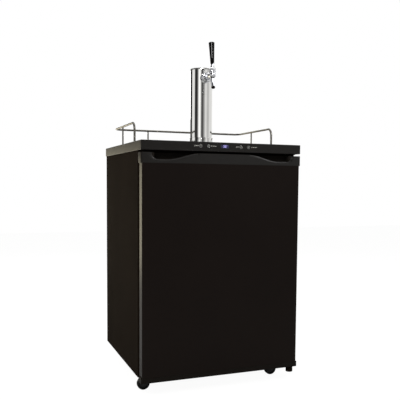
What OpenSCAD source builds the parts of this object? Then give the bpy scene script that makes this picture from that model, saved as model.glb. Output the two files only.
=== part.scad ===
// Cold brew kegerator: an insulated cabinet on casters with a hinged door, a worktop with a
// guard rail, and a tower with one tap. Millimetres, +Z up, front towards -Y, floor at Z = 0.

/* [Worktop] */
// Width of the worktop, the widest piece
worktop_w = 610; // [590:1:680]
// Depth of the worktop, from its front to its rear
worktop_d = 592; // [580:1:680]
// Height of the worktop's rim
worktop_t = 33; // [30:1:44]
// Thickness of the slab above the cabinet
slab_t = 20; // [18:1:24]
// Corner radius of the worktop seen from above
worktop_corner_r = 5; // [3:0.5:10]
// Wall at the front and top of the control bay
bay_wall = 4; // [3:0.5:5]

/* [Cabinet] */
// Clear height from the floor to the side panels
skirt_gap = 57; // [54:1:66]
// Height of the side panels
cabinet_h = 811; // [770:1:900]
// How far the worktop stands out past each side panel
side_overhang = 3; // [2:0.5:6]
// How far the worktop stands out past the side panels at the rear
rear_overhang = 3; // [2:0.5:8]
// Thickness of the sheet steel
sheet_t = 1.2; // [0.8:0.1:2]
// Thickness of the inner liner
liner_t = 2; // [1.5:0.1:3]
// Joint between two foam boards
foam_joint = 0.4; // [0.2:0.1:1]
// Side wall, from the outside of the panel to the inside of the liner
side_wall = 44; // [40:1:50]
// Rear wall, from the outside of the back panel to the inside of the liner
back_wall = 44; // [38:1:54]
// Top wall, from the top of the cabinet to the inside of the liner
top_wall = 56; // [50:1:62]
// Floor, from the base pan to the inside of the liner
floor_wall = 48; // [42:1:60]
// Depth of the recess behind the back panel
back_recess = 25; // [22:1:32]
// Height of the base pan above the lower edge of the side panels
base_rise = 9; // [6:1:14]
// Thickness of the base pan
base_t = 2; // [1.5:0.1:3]
// Thickness of the plate that kegs stand on
platform_t = 4; // [3:0.5:6]

/* [Compressor bay] */
// Depth of the bay, from the rear of the side panels
bay_d = 183; // [176:1:200]
// Height of the bay above the base pan
bay_h = 232; // [220:1:260]
// Wall between the bay and the inside of the liner
hump_wall = 42; // [36:1:50]
// Diameter of the compressor shell
compressor_d = 140; // [120:1:144]
// Height of the compressor shell
compressor_h = 150; // [130:1:165]
// Height of the compressor's rubber mounts
rubber_h = 14; // [10:1:20]

/* [Condenser] */
// Diameter of the condenser tube
condenser_tube_d = 5; // [4:0.5:6]
// Rows of condenser tube
condenser_rows = 10; // [6:2:14]
// Upright wires across the condenser
condenser_wires = 15; // [7:2:21]

/* [Door] */
// Thickness of the door without its liner plug
door_t = 37; // [34:1:44]
// Thickness of the gasket between door and cabinet
gasket_t = 20.5; // [16:0.5:24]
// Gap between the gasket and the cabinet
seal_gap = 0.5; // [0.4:0.1:1]
// Width of the gasket's frame
gasket_w = 18; // [14:1:19]
// How far the door hangs below the side panels
door_drop = 7; // [4:1:8]
// Gap between the door and the worktop
door_head_gap = 8; // [7:0.5:14]
// How far the steel skin stays inside the caps on each side
skin_inset = 4; // [2:0.5:6]
// Radius of the door's upright front edges
door_edge_r = 6; // [4:0.5:9]
// Height of the top cap
top_cap_h = 36; // [34:1:50]
// Height of the bottom cap
bottom_cap_h = 19; // [17:1:30]
// How far the liner plug reaches into the cabinet
plug_reach = 8; // [4:1:14]

/* [Door grips] */
// Distance of a grip's outer end from the side of the door
grip_edge = 37; // [35:1:55]
// Inner end of a grip, from the middle of the door
grip_in = 95; // [70:1:120]
// Length of the grip from the end of its long slope to its outer end
grip_level = 56; // [40:1:70]
// Length of the grip's short round end
grip_end = 20; // [12:1:26]
// Depth of the scoop in the front lip
grip_depth = 22; // [16:1:23]
// Thickness of the front lip
grip_lip = 5; // [4:0.5:7]
// Front to back width of the finger pocket
pocket_d = 24; // [20:1:25]
// How far the pocket goes below the scoop
pocket_drop = 6; // [3:1:8]

/* [Door hinge] */
// Distance of the pivot from the side of the worktop
hinge_inset = 22; // [20:0.5:26]
// Distance of the pivot from the front
hinge_setback = 21; // [19:0.5:23]
// Diameter of the hinge pins
hinge_pin_d = 8; // [6:0.5:10]
// Thickness of the hinge brackets
hinge_t = 3; // [2.5:0.5:4]
// Diameter of the round boss under the lower bracket
hinge_boss_d = 26; // [20:1:28]
// Height of that boss
hinge_boss_h = 18; // [10:1:24]

/* [Casters] */
// Diameter of a caster wheel
wheel_d = 46; // [40:1:46]
// Width of a caster wheel
wheel_w = 18; // [14:1:20]
// Distance from the swivel axis back to the axle
trail = 18; // [14:1:20]
// Distance of a swivel axis from the outside of the side panel
caster_inset_x = 47; // [44:1:80]
// Distance of a front swivel axis from the front of the cabinet
caster_inset_y = 34; // [30:1:70]
// Distance of a rear swivel axis from the rear of the side panels
caster_rear_y = 60; // [50:1:90]
// Diameter of a caster stem
stem_d = 10; // [8:1:12]
// Diameter of a caster axle
axle_d = 6; // [5:0.5:8]

/* [Guard rail] */
// Height of the rail's centre line above the worktop
rail_h = 76; // [60:1:110]
// Diameter of the bent rail tube
rail_tube_d = 8; // [7:0.5:10]
// Diameter of the upright posts
rail_post_d = 6; // [5:0.5:7]
// Distance of the rail from the sides of the worktop
rail_inset = 26; // [20:1:40]
// Distance of the rail's front legs from the front
rail_front = 192; // [185:1:230]
// Distance of the rail from the rear of the worktop
rail_rear = 70; // [30:1:90]
// Distance of the side posts from the front
rail_side_post = 380; // [340:1:420]
// Distance of the rear posts from the middle
rail_rear_post = 138; // [100:1:180]
// Bend radius above the front legs
rail_bend_r = 28; // [16:1:40]
// Bend radius at the rear corners
rail_corner_r = 30; // [16:1:50]
// Depth of the sockets for rail and posts
rail_socket = 10; // [6:1:13]

/* [Tower] */
// Distance of the tower's axis from the front
tower_setback = 246; // [242:1:300]
// Diameter of the tower
tower_d = 86; // [76:1:92]
// Height of the tower above the worktop
tower_h = 296; // [290:1:420]
// Wall of the tower's tube
tower_wall = 1.5; // [1.2:0.1:2.5]
// Diameter of the tower's base flange
flange_d = 118; // [112:1:120]
// Thickness of the base flange
flange_t = 6; // [5:0.5:9]
// Bolt circle of the base flange
flange_pcd = 103; // [101:0.5:104]
// Bore for the drink line through the worktop and the insulation
line_bore_d = 50; // [40:1:60]

/* [Tap] */
// Distance of the tap's axis below the top of the tower
tap_drop = 40; // [38:1:65]
// Length of tap in front of the tower, to the axis of the lever
tap_reach = 75; // [73:1:90]
// Diameter of the threaded shank
shank_d = 22; // [20:0.5:24]
// Diameter of the faucet body
faucet_d = 24; // [22:0.5:26]
// Lean of the closed handle, towards the tower
lever_lean = 7; // [0:1:9]
// Height of the lever's pivot above the tap's axis
lever_arm = 17; // [16:0.5:20]
// Length of the handle
handle_l = 79; // [60:1:160]
// Diameter of the handle at its top
handle_top_d = 22.5; // [18:0.5:32]
// Diameter of the handle at its foot
handle_foot_d = 15; // [11:0.5:16]
// Length of the chrome ferrule under the handle
ferrule_l = 13; // [12:1:26]
// Length of the spout below the tap's axis
spout_l = 52; // [40:1:60]
// Outer diameter of the spout
spout_d = 14; // [12:0.5:16]
// Bore of the spout
spout_bore_d = 9; // [7:0.5:10]
// Bore of the spout's mouth
spout_mouth_d = 10; // [8:0.5:11]
// Length of the spout's mouth
spout_mouth_l = 18; // [10:1:22]
// Forward lean of the spout
spout_lean = 19; // [0:1:22]

/* [Drip tray] */
// Width of the tray's recess in the worktop
tray_w = 200; // [150:1:260]
// Front to back size of the recess
tray_d = 106; // [90:1:108]
// Distance of the tray's middle from the front
tray_setback = 121; // [119:1:122]
// Depth of the recess
tray_depth = 16; // [12:0.5:16]
// Width of a slot in the grate
grate_slot = 5; // [3:0.5:6]

/* [Controls] */
// Distance of the buttons and display below the top of the worktop
button_drop = 14.3; // [14:0.1:15]
// Diameter of a button
button_d = 11; // [8:0.5:12]
// Distance of the outer buttons from the middle
button_outer = 91; // [80:1:105]
// Distance of the inner buttons from the middle
button_inner = 61.5; // [40:0.5:66]
// Travel of a button
button_travel = 1; // [0.5:0.1:1.5]
// Width of the display window
display_w = 30; // [24:1:50]
// Height of the display window
display_h = 12; // [9:0.5:13]

/* [Cold unit] */
// Width of the evaporator cover
evaporator_w = 340; // [260:1:440]
// Height of the evaporator cover
evaporator_h = 220; // [180:1:260]
// Depth of the evaporator cover
evaporator_d = 60; // [58:1:80]
// Diameter swept by the fan
fan_d = 90; // [70:1:100]

/* [Gas line and mains inlet] */
// Distance of the gas line port from the outside of the side panel
gas_port_edge = 97; // [80:1:106]
// Height of the gas line port above the bay
gas_port_h = 120; // [60:1:200]
// Diameter of the gas line port's clear bore
gas_bore_d = 13; // [8:0.5:16]
// Distance of the mains inlet from the outside of the side panel
inlet_edge = 40; // [34:1:50]
// Height of the mains inlet above the bay
inlet_h = 60; // [40:1:200]

/* [Clearances] */
// Between a running pin and its bore, on the radius
run_gap = 0.05; // [0.02:0.01:0.1]
// Between pieces that slide or lift past each other
slide_gap = 0.3; // [0.2:0.05:0.5]
// Between pieces that are screwed or pushed together, on the radius
fit_gap = 0.1; // [0.05:0.01:0.2]

/* [Hidden] */
$fn = 72;

// How far a cutting solid runs past the face that it cuts
past = 1;

// Levels and faces of the cabinet
front_y = -worktop_d / 2;
rear_y = worktop_d / 2;
door_y1 = front_y + door_t;
cabinet_y0 = door_y1 + gasket_t + seal_gap;
cabinet_y1 = rear_y - rear_overhang;
cabinet_x = worktop_w / 2 - side_overhang;
panel_x = cabinet_x - sheet_t;
gas_port_x = cabinet_x - gas_port_edge;
inlet_x = cabinet_x - inlet_edge;
cabinet_z0 = skirt_gap;
cabinet_z1 = cabinet_z0 + cabinet_h;
worktop_z1 = cabinet_z1 + slab_t;
worktop_z0 = worktop_z1 - worktop_t;
base_z0 = cabinet_z0 + base_rise;
base_z1 = base_z0 + base_t;
back_y = cabinet_y1 - back_recess;
cavity_x = cabinet_x - side_wall;
cavity_y1 = back_y - back_wall;
cavity_z0 = base_z1 + floor_wall;
cavity_z1 = cabinet_z1 - top_wall;
bay_y0 = cabinet_y1 - bay_d;
bay_z1 = base_z1 + bay_h;
hump_y0 = bay_y0 - hump_wall;
hump_z1 = bay_z1 + hump_wall;
foam_x = cavity_x + liner_t;
foam_y0 = cabinet_y0 + sheet_t;
foam_y1 = back_y - sheet_t;
foam_bay_y = bay_y0 - sheet_t;
foam_bay_z = bay_z1 + sheet_t;
foam_floor = cavity_z0 - liner_t;
foam_top = cavity_z1 + liner_t;
foam_hump = hump_z1 - liner_t;
platform_gap = 5;
platform_end = 17;
platform_r = 12;

// Door
door_w = worktop_w - 2 * skin_inset;
door_z0 = cabinet_z0 - door_drop;
door_z1 = worktop_z0 - door_head_gap;
skin_z0 = door_z0 + bottom_cap_h;
skin_z1 = door_z1 - top_cap_h;
grip_out = worktop_w / 2 - grip_edge;
grip_flat = grip_out - grip_level;
plug_gap = 20;
pocket_inset = 20;
cut_overlap = 0.01;
plug_x = cavity_x - plug_gap;
plug_z0 = cavity_z0 + plug_gap;
plug_z1 = min(cavity_z1, skin_z1) - plug_gap;
plug_y1 = cabinet_y0 + plug_reach;
gasket_margin = 6;
gasket_x = cavity_x + gasket_margin + gasket_w;
gasket_z0 = cavity_z0 - gasket_margin - gasket_w;
gasket_z1 = cavity_z1 + gasket_margin + gasket_w;

// Hinge
hinge_x = worktop_w / 2 - hinge_inset;
hinge_y = front_y + hinge_setback;
hinge_pin_r = hinge_pin_d / 2;
hinge_pin_depth = 14;
hinge_pin_end_gap = 1;
hinge_eye_wall = 4.5;
hinge_eye_r = hinge_pin_r + hinge_eye_wall;
hinge_leaf = 14;
hinge_leaf_h = 17;
hinge_screw_x = 8;
hinge_screw_edge = 6;
lower_hinge_gap = 1;
lower_hinge_z1 = door_z0 - lower_hinge_gap;
lower_hinge_z0 = lower_hinge_z1 - hinge_t;
lower_leaf_rise = 16;
lower_leaf_z1 = base_z1 + lower_leaf_rise;

// Screws
screw_r = 2;
screw_head_r = 4;
screw_head_h = 2.4;
screw_l = 10;
back_screw_edge = 14;
back_screw_x = cabinet_x - back_screw_edge;
back_screws = 4;
back_screw_step = (cabinet_z1 - bay_z1) / back_screws;

// Casters
caster_x = cabinet_x - caster_inset_x;
caster_front_y = cabinet_y0 + caster_inset_y;
caster_back_y = cabinet_y1 - caster_rear_y;
socket_wall = 7;
socket_r = stem_d / 2 + socket_wall;
socket_h = 10;
fork_gap = 1.2;
fork_leg_t = 3;
fork_head_r = 20;
fork_wheel_gap = 5;
fork_head_z0 = wheel_d + fork_wheel_gap;
fork_head_t = 4;
fork_eye_wall = 5;
fork_eye_r = axle_d / 2 + fork_eye_wall;
fork_back = 16;
fork_front = 14;

// Controls
bay_end = 43;
bay_x = button_outer + bay_end;
bay_rear_wall = 6;
bay_y1 = cabinet_y0 - bay_rear_wall;
bay_z = worktop_z1 - bay_wall;
cover_t = 2.5;
button_z = worktop_z1 - button_drop;
button_recess = 0.4;
button_flange_t = 1.5;
button_flange = 2;
button_back = front_y + bay_wall + slide_gap + button_flange_t;
switch_h = 1.5;
board_y = button_back + button_travel + fit_gap + switch_h;
board_t = 1.6;
board_margin = 8;
board_x = bay_x - board_margin;
board_half_h = 9;
board_post_edge = 10;
board_post_x = board_x - board_post_edge;
board_post_r = 3;
window_t = 3;
display_margin = 1;
switch_w = 6;

// Guard rail
rail_x = worktop_w / 2 - rail_inset;
rail_y0 = front_y + rail_front;
rail_y1 = rear_y - rail_rear;
rail_z = worktop_z1 + rail_h;
rail_r = rail_tube_d / 2;
post_r = rail_post_d / 2;
side_post_y = front_y + rail_side_post;
collar_wall = 4;
collar_h = 5;
collar_taper = 1.5;

// Tower
tower_y = front_y + tower_setback;
tower_r = tower_d / 2;
tower_in_r = tower_r - tower_wall;
tower_neck_h = 16;
tower_neck_wall = 4;
foot_ring_h = 32;
foot_ring_wall = 2;
tower_z1 = worktop_z1 + tower_h;
cap_h = 6;
cap_edge_r = 2;
cap_lip = 0.6;
cap_plug_h = 10;
flange_screws = 4;
flange_screw_r = 2.5;
flange_screw_head_r = 4.6;
flange_screw_head_h = 3;
flange_screw_l = 18;

// Tap, along its axis from the tower forward
tap_z = tower_z1 - tap_drop;
tower_front_y = tower_y - tower_r;
lever_y = tower_front_y - tap_reach;
lever_z = tap_z + lever_arm;
shank_r = shank_d / 2;
shank_bore_r = 4.5;
collar_flange = 8;
collar_r = shank_r + collar_flange;
collar_l = 11;
collar_y0 = tower_front_y - collar_l;
coupling_l = 18;
nut_y0 = collar_y0 - coupling_l;
shank_thread_l = 8;
shank_y0 = collar_y0 - shank_thread_l;
shank_tail = 8;
shank_y1 = tower_y - shank_tail;
faucet_flange = 2.5;
faucet_flange_r = shank_r + faucet_flange;
faucet_flange_t = 6;
nut_lip_t = shank_y0 - faucet_flange_t - nut_y0;
coupling_wall = 4;
coupling_r = faucet_flange_r + coupling_wall;
shank_nut_wall = 6;
shank_nut_r = shank_r + shank_nut_wall;
shank_nut_l = 16;
faucet_r = faucet_d / 2;
stub_step = 1;
stub_r = faucet_r - stub_step;
spout_offset = 8;
yoke_r = 6.5;
yoke_half_l = 9;
yoke_nose = 2;
yoke_slot_w = 8;
yoke_slot_half_l = 5.2;
shaft_bore_r = yoke_r + slide_gap;
rod_r = 4;
seal_r = 7;
seal_t = 3;
seal_gap_r = 1;
seal_room = 16;
lever_seat_r = 7;
lever_ball_r = 6.2;
trunnion_r = 4.5;
trunnion_l = 10.6;
lever_tip_r = 3.5;
lever_neck_r = 1.75;
lever_rod_r = 4;
ball_seat = 5;
stub_h = lever_arm - ball_seat;
bonnet_r = 12;
bonnet_h = 12;
bonnet_mouth_r = 9;
ferrule_gap = 5;
ferrule_s = lever_seat_r + ferrule_gap;
handle_s = ferrule_s + ferrule_l;
ferrule_foot_r = 7.5;
handle_edge_r = 2;
line_r = 4;
line_bend_r = 12;
line_lead = 5;
line_y = shank_y1 + line_bend_r + line_lead;
line_drop = 34;
line_z0 = cavity_z1 - line_drop;
line_washer_t = 3;
line_nut_r = 9;
line_nut_h = 14;

// Drip tray
tray_y = front_y + tray_setback;
tray_r = 10;
tray_wall = 2;
tray_lip = 5;
tray_lip_t = 2;
tray_floor_t = 2;
grate_t = 3;
grate_ledge = 3;
grate_sink = 2;
grate_z0 = worktop_z1 - grate_sink;
grate_slots = 9;
grate_end = 18;
grate_edge = 12;

// Cold unit
evaporator_wall = 2.5;
evaporator_drop = 24;
evaporator_z1 = cavity_z1 - evaporator_drop;
evaporator_z0 = evaporator_z1 - evaporator_h;
evaporator_y0 = cavity_y1 - evaporator_d;
fan_rise = 20;
fan_z = evaporator_z1 - evaporator_h / 2 + fan_rise;
fan_gap = 3;
fan_hub_r = 17;
fan_blades = 7;
fan_pitch = 35;
fan_depth = 16;
fan_front_gap = 7;
fan_y0 = evaporator_y0 + evaporator_wall + fan_front_gap;
blade_t = 2;
blade_root = 1;
motor_r = 20;
motor_l = 26;
motor_shaft_r = 2.5;
guard_bar = 3;
vent_count = 9;
vent_w = 17;
vent_h = 22;
vent_rise = 26;

// Compressor
compressor_x = 60;
compressor_gap = 11;
compressor_y = bay_y0 + compressor_gap + compressor_d / 2;
compressor_z0 = base_z1 + rubber_h;
compressor_r = compressor_d / 2;
compressor_dome_r = 30;
foot_plate_t = 3;
foot_reach = 6;
foot_x = compressor_r + foot_reach;
foot_y = 46;
rubber_r = 11;
discharge_h = 70;
discharge_z = compressor_z0 + discharge_h;
discharge_r = 3.5;
discharge_elbow_r = 5;
discharge_l = 26;

// Condenser
condenser_edge = 60;
condenser_x0 = condenser_edge - panel_x;
condenser_port_gap = 55;
condenser_x1 = gas_port_x - condenser_port_gap;
condenser_y = back_y + back_recess / 2;
condenser_r = condenser_tube_d / 2;
condenser_margin = 50;
condenser_z0 = bay_z1 + condenser_margin;
condenser_z1 = cabinet_z1 - condenser_margin;
condenser_pitch = (condenser_z1 - condenser_z0) / (condenser_rows - 1);
condenser_bend_r = 20;
wire_t = 2;
wire_bite = 0.5;
wire_over = 10;
bracket_w = 14;

// Gas line port and mains inlet
gas_port_z = bay_z1 + gas_port_h;
grommet_wall = 4.5;
grommet_r = gas_bore_d / 2 + grommet_wall;
grommet_flange = 5;
grommet_flange_r = grommet_r + grommet_flange;
grommet_flange_t = 2.5;
inlet_z = bay_z1 + inlet_h;
inlet_r = 11;
inlet_l = 14;
inlet_flange_r = 16;
inlet_flange_t = 3;
inlet_bore_r = 4;

// Colours
black_plastic = "#242522";
black_steel = "#2b2724";
dark_steel = "#1b1a18";
chrome = "#c9cacb";
polished_steel = "#d6d7d8";
white_plastic = "#e9eaea";
rubber = "#111111";
foam = "#d8c79a";
galvanised = "#9aa0a3";
blue_display = "#4a55d8";
board_green = "#2f6b3c";

// A box from its lowest corner to its highest
module between(lo, hi) {
    translate(lo) cube(hi - lo);
}

// A rectangle with round corners, centred
module rounded_rect(w, d, r) {
    square([w - 2 * r, d], center = true);
    square([w, d - 2 * r], center = true);
    for (x = [-1, 1], y = [-1, 1])
        translate([x * (w / 2 - r), y * (d / 2 - r)]) circle(r);
}

// A round bar along +Y from a point
module bar_y(x, y, z, r, l) {
    translate([x, y, z]) rotate([-90, 0, 0]) cylinder(r = r, h = l);
}

// A round bar along +Z from a point
module bar_z(x, y, z, r, l) {
    translate([x, y, z]) cylinder(r = r, h = l);
}

// A pan head screw along +Z, its head above the origin
module screw(r, head_r, head_h, l) {
    translate([0, 0, -l]) cylinder(r = r, h = l + head_h / 2);
    intersection() {
        cylinder(r = head_r, h = head_h);
        translate([0, 0, head_h - 2 * head_r]) sphere(2 * head_r);
    }
}

// Places of the rail's feet, with the radius of each
rail_feet = [
    for (s = [-1, 1])
        each [
            [s * rail_x, rail_y0, rail_r],
            [s * rail_x, side_post_y, post_r],
            [s * rail_rear_post, rail_y1, post_r]
        ]
];

module at_flange_screws() {
    for (i = [0:flange_screws - 1])
        translate([0, tower_y, 0])
            rotate([0, 0, 45 + i * 360 / flange_screws]) translate([flange_pcd / 2, 0, 0]) children();
}

// Screws through the back panel, heads towards +Y
module at_back_screws() {
    for (s = [-1, 1], i = [0:back_screws - 1])
        translate([s * back_screw_x, back_y, bay_z1 + (i + 0.5) * back_screw_step])
            rotate([-90, 0, 0]) children();
}

// Screws through the hinge leaves, heads towards -Y
module at_hinge_screws() {
    for (s = [-1, 1], z = [worktop_z0 - hinge_leaf_h / 2, lower_leaf_z1 - hinge_screw_edge])
        translate([hinge_x + s * hinge_screw_x, cabinet_y0 - hinge_t, z])
            rotate([90, 0, 0]) children();
}

module screw_clearance() {
    cylinder(r = screw_r + fit_gap, h = 4 * screw_l, center = true);
}

module at_gas_port() {
    translate([gas_port_x, 0, gas_port_z]) children();
}

// Worktop and controls

module button_places() {
    for (x = [-button_outer, -button_inner, button_inner, button_outer])
        translate([x, 0, button_z]) children();
}

module tray_outline(grow) {
    translate([0, tray_y]) rounded_rect(tray_w + 2 * grow, tray_d + 2 * grow, tray_r + grow);
}

module board_posts() {
    for (s = [-1, 1])
        bar_y(s * board_post_x, front_y + bay_wall - past, button_z, board_post_r,
            board_y - front_y - bay_wall + past);
}

module worktop() color(black_plastic) {
    difference() {
        translate([0, 0, worktop_z0])
            linear_extrude(worktop_t) rounded_rect(worktop_w, worktop_d, worktop_corner_r);
        between([-cabinet_x - fit_gap, cabinet_y0, worktop_z0 - past],
            [cabinet_x + fit_gap, cabinet_y1 + fit_gap, cabinet_z1]);
        between([-bay_x, front_y + bay_wall, worktop_z0 - past], [bay_x, bay_y1, bay_z]);
        translate([0, 0, worktop_z1 - tray_depth]) linear_extrude(tray_depth + past) tray_outline(0);
        bar_z(0, tower_y, cabinet_z1 - past, line_bore_d / 2, slab_t + 2 * past);
        for (f = rail_feet)
            bar_z(f[0], f[1], worktop_z1 - rail_socket, f[2] + fit_gap, rail_socket + past);
        at_flange_screws()
            bar_z(0, 0, worktop_z1 - flange_screw_l, flange_screw_r + fit_gap, flange_screw_l + past);
        button_places()
            bar_y(0, front_y - past, 0, button_d / 2 + slide_gap, bay_wall + 2 * past);
        translate([0, front_y + bay_wall / 2, button_z])
            cube([display_w, bay_wall + 2 * past, display_h], center = true);
    }
    board_posts();
}

module bay_cover() color(black_plastic)
    between([-bay_x + fit_gap, front_y + bay_wall + fit_gap, worktop_z0],
        [bay_x - fit_gap, bay_y1 - fit_gap, worktop_z0 + cover_t]);

module display_window() color(blue_display)
    between([-display_w / 2 + fit_gap, front_y + button_recess, button_z - display_h / 2 + fit_gap],
        [display_w / 2 - fit_gap, front_y + button_recess + window_t, button_z + display_h / 2 - fit_gap]);

module control_board() color(board_green) {
    module_x = display_w / 2 - display_margin;
    module_z = display_h / 2 - display_margin;
    between([-board_x, board_y, button_z - board_half_h],
        [board_x, board_y + board_t, button_z + board_half_h]);
    between([-module_x, front_y + button_recess + window_t, button_z - module_z],
        [module_x, board_y + board_t, button_z + module_z]);
    button_places()
        between([-switch_w / 2, button_back + button_travel + fit_gap, -switch_w / 2],
            [switch_w / 2, board_y + board_t, switch_w / 2]);
}

module push_button(x) color(galvanised) {
    bar_y(x, front_y + button_recess, button_z, button_d / 2, button_back - front_y - button_recess);
    bar_y(x, button_back - button_flange_t, button_z, button_d / 2 + button_flange, button_flange_t);
}

module power_button() push_button(-button_outer);

module light_button() push_button(-button_inner);

module raise_button() push_button(button_inner);

module lower_button() push_button(button_outer);

// Guard rail

module rail_side() {
    bar_z(rail_x, rail_y0, worktop_z1 - rail_socket, rail_r, rail_socket + rail_h - rail_bend_r);
    translate([rail_x, rail_y0 + rail_bend_r, rail_z - rail_bend_r])
        rotate([0, -90, 0]) rotate_extrude(angle = -90) translate([rail_bend_r, 0]) circle(rail_r);
    bar_y(rail_x, rail_y0 + rail_bend_r, rail_z, rail_r, rail_y1 - rail_y0 - rail_bend_r - rail_corner_r);
    translate([rail_x - rail_corner_r, rail_y1 - rail_corner_r, rail_z])
        rotate_extrude(angle = 90) translate([rail_corner_r, 0]) circle(rail_r);
    bar_z(rail_x, side_post_y, worktop_z1 - rail_socket, post_r, rail_socket + rail_h);
    bar_z(rail_rear_post, rail_y1, worktop_z1 - rail_socket, post_r, rail_socket + rail_h);
}

module guard_rail() color(chrome) {
    rail_side();
    mirror([1, 0, 0]) rail_side();
    translate([-rail_x + rail_corner_r, rail_y1, rail_z])
        rotate([0, 90, 0]) cylinder(r = rail_r, h = 2 * (rail_x - rail_corner_r));
}

module rail_collars() color(chrome)
    for (f = rail_feet)
        translate([f[0], f[1], worktop_z1]) difference() {
            cylinder(r1 = f[2] + collar_wall, r2 = f[2] + collar_wall - collar_taper, h = collar_h);
            translate([0, 0, -past]) cylinder(r = f[2] + fit_gap, h = collar_h + 2 * past);
        }

// Tower

module tower_flange() color(polished_steel)
    difference() {
        translate([0, tower_y, worktop_z1]) {
            cylinder(d = flange_d, h = flange_t);
            cylinder(r = tower_in_r - fit_gap, h = flange_t + tower_neck_h);
            difference() {
                cylinder(r = tower_r + foot_ring_wall, h = foot_ring_h);
                translate([0, 0, flange_t]) cylinder(r = tower_r + fit_gap, h = foot_ring_h);
            }
        }
        bar_z(0, tower_y, worktop_z1 - past, tower_in_r - tower_neck_wall,
            flange_t + tower_neck_h + 2 * past);
        at_flange_screws()
            bar_z(0, 0, worktop_z1 - past, flange_screw_r + fit_gap, flange_t + 2 * past);
    }

module tower_screws() color(polished_steel)
    at_flange_screws() translate([0, 0, worktop_z1 + flange_t])
        screw(flange_screw_r, flange_screw_head_r, flange_screw_head_h, flange_screw_l);

module tower_column() color(polished_steel)
    difference() {
        bar_z(0, tower_y, worktop_z1 + flange_t, tower_r, tower_h - flange_t - cap_h);
        bar_z(0, tower_y, worktop_z1, tower_in_r, tower_h);
        bar_y(0, tower_y - 2 * tower_r, tap_z, shank_r + fit_gap, 2 * tower_r);
    }

module tower_cap() color(polished_steel)
    translate([0, tower_y, tower_z1 - cap_h]) {
        rotate_extrude() {
            square([tower_r + cap_lip - cap_edge_r, cap_h]);
            square([tower_r + cap_lip, cap_h - cap_edge_r]);
            translate([tower_r + cap_lip - cap_edge_r, cap_h - cap_edge_r]) circle(cap_edge_r);
        }
        translate([0, 0, -cap_plug_h]) cylinder(r = tower_in_r - fit_gap, h = cap_plug_h + past);
    }

module drink_line() color(polished_steel) {
    bar_y(0, shank_y1, tap_z, line_nut_r, line_washer_t);
    bar_y(0, shank_y1, tap_z, line_r, line_y - line_bend_r - shank_y1);
    translate([0, line_y - line_bend_r, tap_z - line_bend_r])
        rotate([0, -90, 0]) rotate_extrude(angle = 90) translate([line_bend_r, 0]) circle(line_r);
    bar_z(0, line_y, line_z0, line_r, tap_z - line_bend_r - line_z0);
    translate([0, line_y, line_z0 + line_nut_h]) cylinder(r = line_nut_r, h = line_nut_h, $fn = 6);
}

// Tap

module shank() color(chrome)
    difference() {
        bar_y(0, shank_y0, tap_z, shank_r, shank_y1 - shank_y0);
        bar_y(0, shank_y0 - past, tap_z, shank_bore_r, shank_y1 - shank_y0 + 2 * past);
        bar_y(0, shank_y0 - past, tap_z, seal_r + seal_gap_r, seal_room + past);
    }

module shank_collar() color(chrome)
    difference() {
        bar_y(0, collar_y0, tap_z, collar_r, tower_r);
        bar_y(0, collar_y0 - past, tap_z, shank_r + fit_gap, tower_r + 2 * past);
        bar_z(0, tower_y, worktop_z1, tower_r, tower_h);
    }

module shank_nut() color(chrome)
    difference() {
        intersection() {
            translate([0, tower_front_y, tap_z]) rotate([-90, 0, 0])
                cylinder(r = shank_nut_r, h = shank_nut_l, $fn = 6);
            bar_z(0, tower_y, worktop_z1, tower_in_r, tower_h);
        }
        bar_y(0, tower_y - 2 * tower_r, tap_z, shank_r + fit_gap, 4 * tower_r);
    }

module coupling_nut() color(chrome)
    difference() {
        bar_y(0, nut_y0, tap_z, coupling_r, collar_y0 - nut_y0);
        bar_y(0, nut_y0 - past, tap_z, shank_r + fit_gap, collar_y0 - nut_y0 + 2 * past);
        bar_y(0, nut_y0 + nut_lip_t, tap_z, faucet_flange_r + fit_gap, faucet_flange_t);
    }

// Things along the spout's axis, which starts on the tap's axis under the lever
module along_spout() {
    translate([0, lever_y + spout_offset, tap_z]) rotate([-spout_lean, 0, 0]) children();
}

module faucet_body() color(chrome)
    difference() {
        union() {
            bar_y(0, lever_y, tap_z, shank_r, shank_y0 - lever_y);
            bar_y(0, shank_y0 - faucet_flange_t, tap_z, faucet_flange_r, faucet_flange_t);
            translate([0, lever_y, tap_z]) sphere(faucet_r);
            bar_z(0, lever_y, tap_z, stub_r, stub_h);
            along_spout() translate([0, 0, -spout_l]) cylinder(d = spout_d, h = spout_l);
        }
        bar_y(0, lever_y - yoke_half_l - slide_gap, tap_z, shaft_bore_r,
            shank_y0 - lever_y + 2 * yoke_half_l);
        bar_z(0, lever_y, tap_z, lever_seat_r + slide_gap, stub_h + past);
        along_spout() translate([0, 0, -spout_l - past]) {
            cylinder(d = spout_bore_d, h = spout_l + past);
            cylinder(d = spout_mouth_d, h = spout_mouth_l + past);
        }
    }

module faucet_bonnet() color(chrome)
    difference() {
        bar_z(0, lever_y, tap_z + stub_h, bonnet_r, bonnet_h);
        bar_z(0, lever_y, tap_z + stub_h - past, bonnet_mouth_r, bonnet_h + 2 * past);
    }

// Things along the lever's axis, which starts at its pivot
module along_lever() {
    translate([0, lever_y, lever_z]) rotate([-lever_lean, 0, 0]) children();
}

module tap_lever() color(chrome)
    along_lever() {
        sphere(lever_ball_r);
        rotate([0, 90, 0]) cylinder(r = trunnion_r, h = trunnion_l, center = true);
        cylinder(r = lever_rod_r, h = handle_s);
        translate([0, 0, -lever_arm]) cylinder(r = lever_neck_r, h = lever_arm);
        translate([0, 0, -lever_arm]) sphere(lever_tip_r);
    }

module handle_ferrule() color(chrome)
    along_lever() translate([0, 0, ferrule_s]) difference() {
        cylinder(r1 = ferrule_foot_r, r2 = handle_foot_d / 2, h = ferrule_l);
        translate([0, 0, -past]) cylinder(r = lever_rod_r + fit_gap, h = ferrule_l + 2 * past);
    }

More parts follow.
